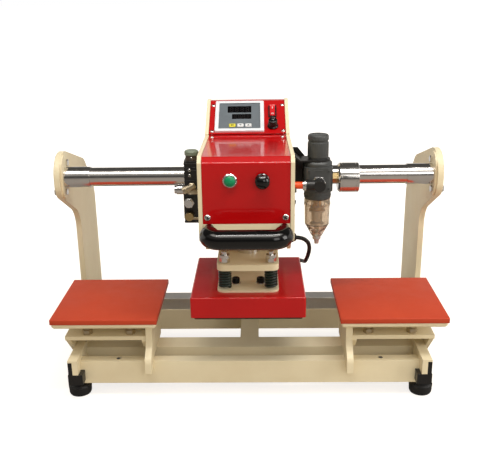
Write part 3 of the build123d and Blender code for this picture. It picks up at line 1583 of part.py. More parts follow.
# Guide arm: it hangs from the base plate and carries two roller pins over the rail
arm_half = 38.0
guide_wall = 6.0
guide_plate_y = 83.0
guide_foot_z = rail_top + 2.0
roller_r = 11.0
roller_width = 14.0
pin_r = 4.0
front_roller_y = rail_y - roller_r - seat_gap
rear_roller_y = rail_y + rail_depth + roller_r + seat_gap
guide_front_y = front_roller_y - roller_r
guide_back_y = rear_roller_y + roller_r
roller_top = guide_foot_z - 1.0
roller_bottom = roller_top - roller_width
with BuildPart() as guide_arm:
    with BuildSketch(Plane.XZ.offset(-guide_plate_y)):
        with BuildLine():
            FilletPolyline(
                (-arm_half, guide_foot_z),
                (arm_half, guide_foot_z),
                (arm_half, head_bottom),
                (-arm_half, head_bottom),
                radius=[0, 0, 0, 0],
                close=True,
            )
        make_face()
    extrude(amount=-guide_wall)
    with BuildSketch(Plane.XY.offset(guide_foot_z)):
        with Locations((0, guide_front_y)):
            Rectangle(2 * arm_half, guide_back_y - guide_front_y, align=(Align.CENTER, Align.MIN))
    extrude(amount=guide_wall)
    with BuildSketch(Plane.XY.offset(head_bottom - guide_wall)):
        with Locations((0, guide_plate_y - 26)):
            Rectangle(2 * arm_half, 26, align=(Align.CENTER, Align.MIN))
    extrude(amount=guide_wall)
    for gusset_x in (-arm_half + 3, arm_half - 3):
        with BuildSketch(Plane.YZ.offset(gusset_x - 2)):
            with BuildLine():
                Polyline(
                    (guide_plate_y + guide_wall, guide_foot_z + guide_wall),
                    (guide_back_y - 4, guide_foot_z + guide_wall),
                    (guide_plate_y + guide_wall, guide_foot_z + 60),
                    close=True,
                )
            make_face()
        extrude(amount=4)
    with BuildSketch(Plane.XY.offset(roller_bottom - 0.3)):
        with Locations((0, front_roller_y), (0, rear_roller_y)):
            Circle(pin_r)
    extrude(amount=guide_foot_z - roller_bottom + 0.3)
    with BuildSketch(Plane.XY.offset(roller_bottom - 2.3)):
        with Locations((0, front_roller_y), (0, rear_roller_y)):
            Circle(pin_r + 2)
    extrude(amount=2)

guide_arm.part.label = "guide_arm"
export_step(guide_arm.part, "parts/guide_arm.step")

with BuildPart() as guide_roller_front:
    with BuildSketch(Plane.XY.offset(roller_bottom)):
        with Locations((0, front_roller_y)):
            Circle(roller_r)
            Circle(pin_r + running_gap, mode=Mode.SUBTRACT)
    extrude(amount=roller_width)

guide_roller_front.part.label = "guide_roller_front"
export_step(guide_roller_front.part, "parts/guide_roller_front.step")

with BuildPart() as guide_roller_rear:
    with BuildSketch(Plane.XY.offset(roller_bottom)):
        with Locations((0, rear_roller_y)):
            Circle(roller_r)
            Circle(pin_r + running_gap, mode=Mode.SUBTRACT)
    extrude(amount=roller_width)

guide_roller_rear.part.label = "guide_roller_rear"
export_step(guide_roller_rear.part, "parts/guide_roller_rear.step")

# Cable glands: heater cable on the head's right side and on the platen's back, mains lead at the rear
cable_r = 3.0
gland_r = 7.5
gland_length = 9.0
with BuildPart() as gland_builder:
    with BuildSketch(Plane.XZ):
        with BuildLine():
            Polyline(
                (cable_r + 0.02, -4),
                (gland_shank_r, -4),
                (gland_shank_r, 0),
                (gland_r, 0),
                (gland_r, 4.0),
                (gland_r - 1.0, 4.6),
                (gland_r - 1.6, gland_length - 1.6),
                (cable_r + 1.4, gland_length),
                (cable_r + 0.02, gland_length),
                close=True,
            )
        make_face()
    revolve(axis=Axis.Z)
heater_gland = gland_builder.part

mains_r = 3.8
with BuildPart() as mains_gland_builder:
    with BuildSketch(Plane.XZ):
        with BuildLine():
            Polyline(
                (mains_r, -6),
                (gland_shank_r + 1, -6),
                (gland_shank_r + 1, 0),
                (gland_r + 1.5, 0),
                (gland_r + 1.5, 5),
                (gland_r - 0.4, 10),
                (mains_r + 1.6, 13),
                (mains_r, 13),
                close=True,
            )
        make_face()
    revolve(axis=Axis.Z)
mains_gland_part = mains_gland_builder.part

with BuildPart() as cable_glands:
    with Locations(right_hand(head_outer, *cable_gland)):
        add(heater_gland)
    with Locations(Location((mains_gland[0], head_back_y, mains_gland[1]), (-90, 0, 0))):
        add(mains_gland_part)

cable_glands.part.label = "cable_glands"
export_step(cable_glands.part, "parts/cable_glands.step")

platen_back_y = table_y + cover_size_y / 2
with BuildPart() as platen_gland_piece:
    with Locations(Location((platen_gland[0], platen_back_y, platen_gland[1]), (-90, 0, 0))):
        add(heater_gland)

covered_platen = Compound(children=[*platen_cover.part.solids(), *platen_gland_piece.part.solids()])
covered_platen.label = "platen_cover"
export_step(covered_platen, "parts/platen_cover.step")

# Heater cable: a limp lead that loops from the head's gland down to the platen's gland
cable_points = [
    (head_outer + 1.2, cable_gland[0], cable_gland[1]),
    (head_outer + 15.2, cable_gland[0], cable_gland[1]),
    (head_outer + 26.4, -21.2, 210.3),
    (head_outer + 29.8, -14.5, 198.0),
    (head_outer + 28.2, -7.0, 183.5),
    (head_outer + 25.8, 8.0, 169.5),
    (head_outer + 25.8, 29.0, 159.5),
    (84.6, 48.0, 153.5),
    (76.5, 59.8, 151.0),
    (63.5, 64.6, 150.2),
    (50.3, 61.0, platen_gland[1]),
    (platen_gland[0], platen_back_y + 15.5, platen_gland[1]),
    (platen_gland[0], platen_back_y + 1.0, platen_gland[1]),
]
cable_runs = [Vector(b) - Vector(a) for a, b in zip(cable_points, cable_points[1:])]
cable_radii = []
for before, after in zip(cable_runs, cable_runs[1:]):
    turn = radians(before.get_angle(after))
    cable_radii.append(0.45 * min(before.length, after.length) / tan(turn / 2))
print("heater cable radii", [round(r, 1) for r in cable_radii])
print("heater cable runs", [round(run.length, 1) for run in cable_runs])

with BuildPart() as heater_cable:
    with BuildLine() as cable_line:
        FilletPolyline(*cable_points, radius=cable_radii)
    with BuildSketch(Plane(origin=cable_line.line @ 0, z_dir=cable_line.line % 0)):
        Circle(cable_r)
    sweep()
cable_length = sum(edge.length for edge in cable_line.line.edges())
cable_share = heater_cable.part.volume / (pi * cable_r**2 * cable_length)
print("heater cable length", round(cable_length, 1), "volume share", round(cable_share, 4))

heater_cable.part.label = "heater_cable"
export_step(heater_cable.part, "parts/heater_cable.step")
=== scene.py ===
"""Looks of a two station pneumatic heat press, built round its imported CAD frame."""

import math

import bmesh
import bpy
from mathutils import Euler, Matrix, Vector


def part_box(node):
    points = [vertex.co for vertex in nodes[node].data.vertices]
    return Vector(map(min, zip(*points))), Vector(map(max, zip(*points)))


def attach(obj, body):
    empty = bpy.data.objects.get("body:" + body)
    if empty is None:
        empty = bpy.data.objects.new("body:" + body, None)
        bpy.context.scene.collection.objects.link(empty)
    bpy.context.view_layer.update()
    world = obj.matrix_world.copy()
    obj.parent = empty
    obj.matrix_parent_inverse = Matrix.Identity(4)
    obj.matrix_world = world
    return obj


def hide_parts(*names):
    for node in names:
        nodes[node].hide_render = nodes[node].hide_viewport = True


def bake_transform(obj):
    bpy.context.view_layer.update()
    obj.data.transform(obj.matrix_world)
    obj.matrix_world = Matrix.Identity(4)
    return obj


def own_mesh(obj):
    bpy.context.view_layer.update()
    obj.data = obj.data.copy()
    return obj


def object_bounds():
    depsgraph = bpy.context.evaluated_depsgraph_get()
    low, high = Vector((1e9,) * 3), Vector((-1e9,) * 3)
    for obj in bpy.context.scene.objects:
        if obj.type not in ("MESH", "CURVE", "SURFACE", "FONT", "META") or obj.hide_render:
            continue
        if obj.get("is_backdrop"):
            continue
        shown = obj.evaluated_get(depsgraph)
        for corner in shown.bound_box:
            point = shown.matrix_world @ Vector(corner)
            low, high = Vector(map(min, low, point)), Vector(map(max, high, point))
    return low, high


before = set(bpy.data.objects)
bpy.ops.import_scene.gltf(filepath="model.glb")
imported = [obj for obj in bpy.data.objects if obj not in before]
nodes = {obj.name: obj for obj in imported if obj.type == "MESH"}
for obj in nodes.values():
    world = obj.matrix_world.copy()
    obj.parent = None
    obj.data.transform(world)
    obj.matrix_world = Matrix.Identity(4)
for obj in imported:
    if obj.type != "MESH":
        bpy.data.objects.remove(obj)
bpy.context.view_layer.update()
scene = bpy.context.scene

MM = 0.001


def corners(name):
    """A CAD node's lowest and highest corners at rest, in millimetres."""
    return [[round(number / MM, 3) for number in corner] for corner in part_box(name)]


def middle(name):
    """The middle of a CAD node's box, in millimetres."""
    return [(low + high) / 2 for low, high in zip(*corners(name))]


# Places of the CAD nodes that the pieces sit on, in millimetres
pads_low, pads_high = corners("silicone_pads")
PAD_SIDE = pads_high[1] - pads_low[1]
PAD_DEPTH = pads_high[2] - pads_low[2]
PAD_MIDDLE = middle("silicone_pads")[2]
TABLE_X = pads_high[0] - PAD_SIDE / 2
TABLE_Y = middle("silicone_pads")[1]
BEAM_TOP = corners("front_beam")[1][2]
HEAD_FRONT_Y = corners("head_front_cover")[0][1]
HEAD_REAR_Y = corners("head_rear_cover")[1][1]
LOWER_PLATE_TOP = corners("platen_lower_plate")[1][2]
REG_X, REG_Y = middle("regulator_bowl")[:2]
REG_FRONT = corners("regulator_body")[0][1]

# The sloped control panel: its lowest middle point, its slope in degrees,
# and places on it, across from the middle and up the slope
PANEL_ORIGIN = (0.0, 7.0, 365.8)
PANEL_ANGLE = 27.8
CONTROLLER = (middle("controller_case")[0], 39.0)
KEY_ROW = CONTROLLER[1] - 22.3
KNOB_AT = (middle("panel_rocker")[0], 16.0)
KNOB_TURN = -18

# Half the side of the controller's grey face
FACE_HALF = 30.6
# The display windows: places from the controller's middle, widths and heights,
# and the black gap round their glass
WINDOWS = ((-0.35, 16.4, 34.6, 15.0), (3.05, -0.9, 27.8, 10.9))
WINDOW_GAP = 0.45


# Materials


def linear(*screen):
    """A linear colour from red, green and blue as a screen shows them, from 0 to 255."""
    return tuple(((c / 255 + 0.055) / 1.055) ** 2.4 if c > 10 else c / 255 / 12.92 for c in screen)


class Nodes:
    """Shader nodes of one tree, made and linked by short calls."""

    def __init__(self, tree):
        self.tree = tree

    def add(self, kind, **values):
        node = self.tree.nodes.new("ShaderNode" + kind)
        for key, value in values.items():
            setattr(node, key, value)
        return node

    def feed(self, socket, value):
        """Links an output to a socket, or gives the socket a plain value."""
        if isinstance(value, bpy.types.NodeSocket):
            self.tree.links.new(value, socket)
        else:
            socket.default_value = value

    def ranged(self, value, low, high, new_low, new_high, blend="LINEAR"):
        """Brings a value from one range to another and holds it there."""
        node = self.add("MapRange", interpolation_type=blend)
        numbers = (value, low, high, new_low, new_high)
        for key, number in zip(("Value", "From Min", "From Max", "To Min", "To Max"), numbers):
            self.feed(node.inputs[key], number)
        return node.outputs["Result"]

    def math(self, operation, first, second):
        node = self.add("Math", operation=operation)
        self.feed(node.inputs[0], first)
        self.feed(node.inputs[1], second)
        return node.outputs[0]


class Look(Nodes):
    """One procedural material. The methods that add to it give it back, so calls follow each other."""

    def __init__(self, name, colour, rough, metal=0.0, coat=0.0):
        self.material = bpy.data.materials.new(name)
        self.material.use_nodes = True
        super().__init__(self.material.node_tree)
        self.shader = self.tree.nodes["Principled BSDF"].inputs
        self.shader["Base Color"].default_value = (*colour, 1.0)
        self.shader["Roughness"].default_value = rough
        self.shader["Metallic"].default_value = metal
        self.shader["Coat Weight"].default_value = coat
        self.shader["Coat Roughness"].default_value = 0.08
        self.colour = colour
        self.place = self.add("TexCoord").outputs["Object"]
        self.normal = None

    def stretched(self, scale):
        """Object coordinates, scaled by three numbers."""
        mapping = self.add("Mapping")
        mapping.inputs["Scale"].default_value = scale
        self.feed(mapping.inputs["Vector"], self.place)
        return mapping.outputs["Vector"]

    def noise(self, scale, detail, rough, vector=None):
        node = self.add("TexNoise")
        node.inputs["Scale"].default_value = scale
        node.inputs["Detail"].default_value = detail
        node.inputs["Roughness"].default_value = rough
        self.feed(node.inputs["Vector"], vector or self.place)
        return node.outputs["Fac"]

    def mix(self, factor, first, second):
        """A colour between two, by a factor. The node's sockets 6, 7 and 2 are those for colours."""
        node = self.add("Mix", data_type="RGBA")
        self.feed(node.inputs[0], factor)
        for number, value in ((6, first), (7, second)):
            self.feed(node.inputs[number], (*value, 1.0) if isinstance(value, tuple) else value)
        return node.outputs[2]

    def rounded_normal(self, radius):
        """The normal of the surface as if its edges were rounded."""
        bevel = self.add("Bevel", samples=4)
        bevel.inputs["Radius"].default_value = radius
        return bevel.outputs["Normal"]

    def specular(self, level):
        self.shader["Specular IOR Level"].default_value = level
        return self

    def clear(self, amount, ior):
        """Lets light through."""
        self.shader["Transmission Weight"].default_value = amount
        self.shader["IOR"].default_value = ior
        return self

    def mottle(self, amount, scale, tint=(1.0, 1.0, 1.0)):
        """Slow changes of shade over the surface."""
        dark = tuple(c * (1 - amount) * t for c, t in zip(self.colour, tint))
        light = tuple(min(1.0, c * (1 + amount)) for c in self.colour)
        factor = self.ranged(self.noise(scale, 4.0, 0.6), 0.3, 0.7, 0.0, 1.0)
        self.shade = self.mix(factor, dark, light)
        self.feed(self.shader["Base Color"], self.shade)
        return self

    def smudges(self, low, high, scale):
        """Patches of different gloss."""
        self.feed(self.shader["Roughness"], self.ranged(self.noise(scale, 5.0, 0.65), 0.3, 0.7, low, high))
        return self

    def grain(self, strength, scale, depth, vector=None, detail=2.0):
        """Fine relief, added to any that is there."""
        bump = self.add("Bump")
        bump.inputs["Strength"].default_value = strength
        bump.inputs["Distance"].default_value = depth
        self.feed(bump.inputs["Height"], self.noise(scale, detail, 0.5, vector))
        if self.normal is not None:
            self.feed(bump.inputs["Normal"], self.normal)
        self.normal = bump.outputs["Normal"]
        self.feed(self.shader["Normal"], self.normal)
        return self

    def soft_edges(self, radius):
        """Rounds the edges that light catches."""
        self.normal = self.rounded_normal(radius)
        self.feed(self.shader["Normal"], self.normal)
        return self

    def worn_edges(self, colour, amount):
        """Lightens or bares the paint along edges, broken up by noise."""
        dot = self.add("VectorMath", operation="DOT_PRODUCT")
        self.feed(dot.inputs[0], self.rounded_normal(0.0006))
        self.feed(dot.inputs[1], self.add("NewGeometry").outputs["True Normal"])
        edge = self.ranged(dot.outputs["Value"], 0.98, 0.75, 0.0, 1.0)
        broken = self.ranged(self.noise(260.0, 4.0, 0.7), 0.45, 0.62, 0.0, amount)
        self.shade = self.mix(self.math("MULTIPLY", edge, broken), self.shade, colour)
        self.feed(self.shader["Base Color"], self.shade)
        return self


def paint(name, colour, rough, coat, worn=None, edge=0.0008):
    """Sprayed paint with a faint orange peel, and edges worn to another colour where one is given."""
    look = Look(name, colour, rough, coat=coat).mottle(0.045, 14.0, (1.0, 0.97, 0.93))
    look.specular(0.36).soft_edges(edge)
    if worn:
        look.worn_edges(worn, 0.3)
    return look.grain(0.05, 420.0, 0.00004).smudges(rough - 0.05, rough + 0.08, 26.0)


def steel(name, colour, rough, brushed=None):
    """Bare metal, with fine lines where it is brushed: the scale of the lines along X, Y and Z."""
    look = Look(name, colour, rough, metal=1.0).mottle(0.05, 40.0).soft_edges(0.0005)
    if brushed:
        look.grain(0.10, 1.0, 0.00005, look.stretched(brushed), 4.0)
    return look.smudges(max(0.04, rough - 0.05), rough + 0.12, 90.0)


def plastic(name, colour, rough, grain=0.2, coat=0.0):
    """Moulded plastic or rubber, with a fine grain."""
    look = Look(name, colour, rough, coat=coat).mottle(0.06, 60.0).soft_edges(0.0005)
    if grain:
        look.grain(grain, 1900.0, 0.00008)
    return look.smudges(max(0.05, rough - 0.05), rough + 0.10, 70.0)


cream = paint("cream_paint", linear(235, 223, 190), 0.42, 0.06, linear(214, 196, 158))
red = paint("red_paint", linear(186, 7, 11), 0.34, 0.7).specular(0.12)
black = paint("black_paint", linear(26, 25, 25), 0.38, 0.1, linear(84, 80, 76))
chrome = steel("polished_steel", (0.72, 0.70, 0.68), 0.09, (6.0, 900.0, 900.0))
dull_nut = steel("dull_nut", linear(196, 182, 156), 0.40)
cast_plate = steel("cast_plate", linear(92, 78, 66), 0.48)
socket_black = steel("socket_black", linear(44, 42, 41), 0.30)
bright = steel("bright_steel", (0.72, 0.71, 0.70), 0.18)
plated = steel("plated_steel", (0.78, 0.75, 0.72), 0.38, (4.0, 700.0, 700.0))
aluminium = steel("aluminium", (0.66, 0.66, 0.66), 0.36, (300.0, 4.0, 300.0))
brass = steel("brass", (0.50, 0.37, 0.18), 0.28)
handle_black = plastic("handle_black", linear(9, 9, 9), 0.09, 0.0)
rubber = plastic("black_rubber", linear(24, 23, 23), 0.62, 0.35)
black_plastic = plastic("black_plastic", linear(26, 25, 25), 0.36, 0.25)
charcoal = plastic("charcoal_plastic", linear(66, 68, 68), 0.42, 0.30)
bezel_white = plastic("white_plastic", linear(228, 232, 236), 0.34, 0.12)
face_grey = plastic("face_grey", linear(104, 112, 118), 0.40, 0.15)
display_black = plastic("display_black", linear(9, 9, 11), 0.16, 0.0).specular(0.12)
segment_grey = plastic("segment_grey", linear(21, 17, 17), 0.35, 0.1).specular(0.12)
cap_grey = plastic("cap_grey", linear(120, 130, 112), 0.42, 0.2)
band_brown = plastic("band_brown", linear(84, 70, 60), 0.40, 0.2)
green = plastic("green_plastic", linear(4, 138, 88), 0.30, 0.08, 0.1)
yellow = plastic("yellow_plastic", linear(226, 214, 66), 0.34, 0.08)
key_white = plastic("key_white", linear(222, 224, 224), 0.36, 0.08)
# Dark print on the keys and dial. It is also painted shade: screw recesses, sockets and the holes in the base
# get this dark colour in place of their shade
dark_marks_and_painted_shade = plastic("dark_marks_and_painted_shade", linear(46, 48, 50), 0.45, 0.1)
rocker_red = plastic("red_plastic", linear(206, 26, 32), 0.16, 0.0, 0.5)
orange = plastic("orange_plastic", linear(240, 84, 30), 0.30, 0.05)
spring_green = paint("green_paint", linear(12, 36, 28), 0.24, 0.4, linear(70, 92, 80), 0.0004)
cable_black = plastic("cable_black", linear(22, 21, 21), 0.42, 0.2)
filter_white = plastic("filter_white", linear(206, 188, 160), 0.6, 0.4)
amber = plastic("amber_plastic", linear(238, 182, 66), 0.4, 0.2)
dial_white = plastic("dial_white", linear(236, 236, 230), 0.4, 0.05)

silicone = Look("silicone", linear(188, 62, 26), 0.58).mottle(0.06, 9.0, (1.0, 0.90, 0.86)).specular(0.4)
silicone.soft_edges(0.0008).worn_edges(linear(214, 112, 80), 0.25)
silicone.grain(0.2, 420.0, 0.00010).grain(0.10, 60.0, 0.0002).smudges(0.50, 0.68, 20.0)
silicone.shader["Sheen Weight"].default_value = 0.04

bowl = Look("clear_plastic", linear(222, 208, 190), 0.08, coat=0.2).mottle(0.06, 80.0)
bowl.soft_edges(0.0004).smudges(0.05, 0.18, 60.0).clear(0.88, 1.45)

glass = Look("gauge_glass", (0.95, 0.96, 0.96), 0.04).mottle(0.02, 40.0)
glass.smudges(0.02, 0.08, 50.0).clear(0.96, 1.2)


def dress(name, *looks, where=None):
    """Gives a CAD node its materials. where picks a look's number by a face's centre in millimetres."""
    mesh = nodes[name].data
    mesh.materials.clear()
    for look in looks:
        mesh.materials.append(look.material)
    for face in mesh.polygons:
        face.material_index = where(face.center / MM) if where else 0


# Mesh helpers


def finish(name, bm, looks, body, smooth=35.0, instead_of=None):
    """Makes a smooth shaded piece of the mesh that rides on a body, and may stand for a CAD node."""
    mesh = bpy.data.meshes.new(name)
    bmesh.ops.recalc_face_normals(bm, faces=bm.faces)
    bm.to_mesh(mesh)
    bm.free()
    for look in looks:
        mesh.materials.append(look.material)
    mesh.shade_smooth()
    mesh.set_sharp_from_angle(angle=math.radians(smooth))
    obj = bpy.data.objects.new(name, mesh)
    scene.collection.objects.link(obj)
    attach(obj, body)
    if instead_of:
        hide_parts(instead_of)
    return obj


def evaluated(name, data):
    """The mesh that Blender makes of a curve or of figures."""
    holder = bpy.data.objects.new(name, data)
    scene.collection.objects.link(holder)
    bpy.context.view_layer.update()
    mesh = bpy.data.meshes.new_from_object(holder.evaluated_get(bpy.context.evaluated_depsgraph_get()))
    bpy.data.objects.remove(holder)
    return mesh


def ribbed(radius, ribs, depth):
    """A ring with shallow grooves between ribs, for a grip."""
    return lambda angle: radius - depth * max(0.0, math.cos(ribs * angle)) ** 2


def hexed(radius):
    """A hexagonal ring, for a socket."""
    return lambda angle: radius * math.cos(math.pi / 6) / math.cos(angle % (math.pi / 3) - math.pi / 6)


def crossed(reach, half):
    """A cross shaped ring, for a screw's recess."""

    def ring(angle):
        off = (angle + math.pi / 4) % (math.pi / 2) - math.pi / 4
        return min(reach / math.cos(off), half / max(abs(math.sin(off)), 1e-6))

    return ring


def lathe_into(bm, profile, place, steps=40, index=0):
    """Turns (radius, height) points in millimetres about local Z.

    A radius may be a function of the angle, which gives the ring another form than a circle.
    """
    rings = []
    for radius, height in profile:
        if radius == 0:
            rings.append([bm.verts.new(place @ Vector((0, 0, height * MM)))])
            continue
        ring = []
        for step in range(steps):
            angle = math.tau * step / steps
            r = (radius(angle) if callable(radius) else radius) * MM
            ring.append(bm.verts.new(place @ Vector((r * math.cos(angle), r * math.sin(angle), height * MM))))
        rings.append(ring)
    for low, high in zip(rings, rings[1:]):
        for step in range(steps):
            after = (step + 1) % steps
            if len(low) == 1 and len(high) == 1:
                continue
            if len(low) == 1:
                face = (low[0], high[step], high[after])
            elif len(high) == 1:
                face = (low[step], low[after], high[0])
            else:
                face = (low[step], low[after], high[after], high[step])
            bm.faces.new(face).material_index = index


def block_into(bm, size, place, bevel=0.0, segments=2, index=0):
    """A box in millimetres with rounded edges, centred on its place."""
    made = bmesh.ops.create_cube(bm, size=1.0)
    verts = made["verts"]
    bmesh.ops.transform(bm, matrix=Matrix.Diagonal((*size, 1000.0)) * MM, verts=verts)
    faces = {face for vert in verts for face in vert.link_faces}
    if bevel:
        edges = {edge for vert in verts for edge in vert.link_edges}
        options = {"segments": segments, "profile": 0.5, "affect": "EDGES", "clamp_overlap": True}
        made = bmesh.ops.bevel(bm, geom=list(edges), offset=bevel * MM, **options)
        faces = {face for face in faces if face.is_valid} | set(made["faces"])
        verts = list({vert for face in faces for vert in face.verts})
    for face in faces:
        face.material_index = index
    bmesh.ops.transform(bm, matrix=place, verts=verts)


def prism_into(bm, points, low, high, place, index=0, bevel=0.0):
    """A flat outline of (x, y) points in millimetres, thickened from low to high along local Z."""
    bottom = [bm.verts.new(Vector((x, y, low)) * MM) for x, y in points]
    top = [bm.verts.new(Vector((x, y, high)) * MM) for x, y in points]
    made = [bm.faces.new(list(reversed(bottom))), bm.faces.new(top)]
    count = len(points)
    for i in range(count):
        j = (i + 1) % count
        made.append(bm.faces.new((bottom[i], bottom[j], top[j], top[i])))
    verts = bottom + top
    if bevel:
        options = {"segments": 2, "profile": 0.5, "affect": "EDGES"}
        result = bmesh.ops.bevel(bm, geom=list(made[1].edges), offset=bevel * MM, **options)
        made = [face for face in made if face.is_valid] + list(result["faces"])
        verts = list({vert for face in made for vert in face.verts})
    for face in made:
        face.material_index = index
    bmesh.ops.transform(bm, matrix=place, verts=verts)


def at(x, y, z, turn=(0, 0, 0)):
    """A place in millimetres, turned by three angles in degrees."""
    turns = Euler([math.radians(angle) for angle in turn]).to_matrix().to_4x4()
    return Matrix.Translation(Vector((x, y, z)) * MM) @ turns


# Turns that face local +Z to the front and to the back
FRONT, BACK = (90, 0, 0), (-90, 0, 0)


def turned(degrees, axis):
    return Matrix.Rotation(math.radians(degrees), 4, axis)


def on_panel(across, up, out=0.0, spin=0.0):
    """A place on the control panel: across, up the slope and out of it, turned in its plane."""
    return at(*PANEL_ORIGIN) @ turned(PANEL_ANGLE, "X") @ at(across, up, out) @ turned(spin, "Z")


def rounded(width, height, radius, steps=6):
    """Points round a rectangle with rounded corners."""
    points = []
    for i, (sx, sy) in enumerate(((1, 1), (-1, 1), (-1, -1), (1, -1))):
        cx, cy = sx * (width / 2 - radius), sy * (height / 2 - radius)
        for step in range(steps + 1):
            angle = math.pi / 2 * (i + step / steps)
            points.append((cx + radius * math.cos(angle), cy + radius * math.sin(angle)))
    return points


# CAD nodes that stay, with their finishes

PLAIN_FINISHES = (
    (cream, "side_plate_left side_plate_right base_arms front_beam middle_beam rear_beam"),
    (cream, "inner_supports table_brackets table_plates head_side_plates head_base_plate"),
    (cream, "guide_arm pressure_plate platen_lower_plate"),
    (red, "head_front_cover control_panel head_rear_cover"),
    (chrome, "cross_shaft piston_rod stop_sleeves guide_bolts gauge_case"),
    (plated, "guide_rail drain_valve"),
    (aluminium, "shaft_bearing air_cylinder"),
    (cast_plate, "heating_plate"),
    (black, "foot_brackets regulator_bracket"),
    (black_plastic, "switch_housings power_rocker cable_glands gauge_needle"),
    (black_plastic, "guide_roller_front guide_roller_rear"),
    (charcoal, "regulator_body"),
    (bowl, "regulator_bowl"),
    (glass, "gauge_lens"),
    (orange, "air_tube"),
    (handle_black, "pull_handle black_button"),
    (yellow, "key_set"),
    (key_white, "key_down key_up"),
    (rocker_red, "panel_rocker"),
    (green, "start_button"),
)
for look, names in PLAIN_FINISHES:
    for name in names.split():
        dress(name, look)

# Places where the finish of a node changes
COVER_GLAND_Y = 34.6
CLAMP_BOLT_Y, TABLE_STUD_Z = -10, 88
AMBER_Z = 265.5
RUBBER_TOP_Z = 16.5
COIL_NUT_Z, COIL_BAND_Z = 351.2, 344.1


def bolt_look(centre):
    """Numbers for the looks of the frame's bolts: bright, and dull for the front clamp bolts."""
    return int(centre.y < CLAMP_BOLT_Y and centre.z > TABLE_STUD_Z)


def fitting_look(centre):
    """Numbers for the looks of the fittings: black, chrome, brass and silver."""
    gauge_port, elbow, tube_nut = 117, 80.3, 74
    valve_face, lower_port = -76.5, 277.5
    if centre.x > gauge_port or (centre.x <= 0 and centre.y <= valve_face and centre.z < lower_port):
        return 2
    if centre.x >= elbow:
        return 0
    return 1 if centre.x > tube_nut else 3


def in_window(across, up):
    """Whether a point of the controller's face lies in one of its display windows."""
    for dx, dy, width, height in WINDOWS:
        if abs(across - dx) < width / 2 + WINDOW_GAP and abs(up - dy) < height / 2 + WINDOW_GAP:
            return True
    return False


def controller_look(centre):
    """Numbers for the looks of the controller: white bezel, grey face, black windows and case."""
    face_low, window_high, face_high = -1.5, 1.7, 2.9
    across, up, out = on_panel(*CONTROLLER).inverted() @ (centre * MM) / MM
    if abs(across) < FACE_HALF and abs(up) < FACE_HALF and face_low < out < face_high:
        return 2 if out < window_high and in_window(across, up) else 1
    return 0 if out > -0.1 else 3


def valve_look(centre):
    """Numbers for the looks of the valve: black, the grey nut and the brown band."""
    return 1 if centre.z > COIL_NUT_Z else 2 if centre.z > COIL_BAND_Z else 0


dress("platen_cover", red, black_plastic, where=lambda centre: int(centre.y > COVER_GLAND_Y))
dress("frame_bolts", bright, dull_nut, where=bolt_look)
dress("filter_element", filter_white, amber, where=lambda centre: int(centre.z > AMBER_Z))
dress("button_bezels", bright, handle_black, where=lambda centre: int(centre.x > 0))
dress("levelling_feet", rubber, bright, where=lambda centre: int(centre.z > RUBBER_TOP_Z))
dress("tube_fittings", black_plastic, chrome, brass, bright, where=fitting_look)
dress("controller_case", bezel_white, face_grey, display_black, black_plastic, where=controller_look)
dress("solenoid_valve", black_plastic, cap_grey, band_brown, where=valve_look)


# Screws


def pan_screw_into(bm, radius, rise, place):
    """A pan head screw with a cross recess: metal in slot 0, and in slot 1 the recess, painted dark as its
    shade.
    """
    mouth = crossed(0.56 * radius, 0.15 * radius)
    head = [(0.5 * radius, -1.0), (radius, -0.2), (radius, 0.3 * rise), (0.92 * radius, 0.6 * rise)]
    head += [(0.78 * radius, 0.82 * rise), (0.62 * radius, 0.94 * rise), (mouth, rise)]
    lathe_into(bm, head, place, 48)
    recess = [(mouth, rise), (crossed(0.36 * radius, 0.11 * radius), 0.45 * rise), (0, 0.4 * rise)]
    lathe_into(bm, recess, place, 48, 1)


def socket_screw_into(bm, radius, rise, place):
    """A socket head cap screw: the head in slot 0, and in slot 1 its hexagonal socket, painted dark as its
    shade.
    """
    mouth = hexed(0.56 * radius)
    head = [(radius, 0.0), (radius, 0.86 * rise), (0.9 * radius, rise), (0.66 * radius, rise)]
    lathe_into(bm, head + [(mouth, 0.97 * rise)], place, 36)
    lathe_into(bm, [(mouth, 0.97 * rise), (mouth, 0.45 * rise), (0, 0.42 * rise)], place, 36, 1)


COVER_SCREW_X, FRONT_SCREW_Z, REAR_SCREWS_Z = 49.8, 288.4, (219.0, 373.1)
TOP_SCREW_X, TOP_SCREW_Y, HEAD_TOP = 50.5, 1.0, 361.7
PANEL_SCREWS_ACROSS, PANEL_SCREWS_UP = (-51.2, 52.2), (5.0, 67.0)
CAP_SCREW_X, CAP_SCREW_Y = 17.5, 33

bm = bmesh.new()
for side in (-1, 1):
    x = side * COVER_SCREW_X
    recess_turn = Matrix.Rotation(0.3 + x * 0.01, 4, "Z")
    pan_screw_into(bm, 4.2, 2.6, at(x, HEAD_FRONT_Y, FRONT_SCREW_Z, FRONT) @ recess_turn)
    for z in REAR_SCREWS_Z:
        pan_screw_into(bm, 2.9, 1.8, at(x, HEAD_REAR_Y, z, BACK))
    pan_screw_into(bm, 2.6, 1.6, at(side * TOP_SCREW_X, TOP_SCREW_Y, HEAD_TOP))
for across in PANEL_SCREWS_ACROSS:
    for up in PANEL_SCREWS_UP:
        pan_screw_into(bm, 2.9, 1.8, on_panel(across, up))
screws = finish("cross_screws", bm, [bright, dark_marks_and_painted_shade], "head", 40, "cover_screws")

bm = bmesh.new()
for x in (-CAP_SCREW_X, CAP_SCREW_X):
    for y in (-CAP_SCREW_Y, CAP_SCREW_Y):
        seat = at(x, TABLE_Y + y, LOWER_PLATE_TOP - 0.1)
        socket_screw_into(bm, 5.6, 8.0, seat)
        lathe_into(bm, [(7.2, 0.0), (7.2, 0.9), (6.8, 1.2), (5.0, 1.2)], seat, 32, 2)
finish("plate_cap_screws", bm, [socket_black, dark_marks_and_painted_shade, bright], "platen", 40)

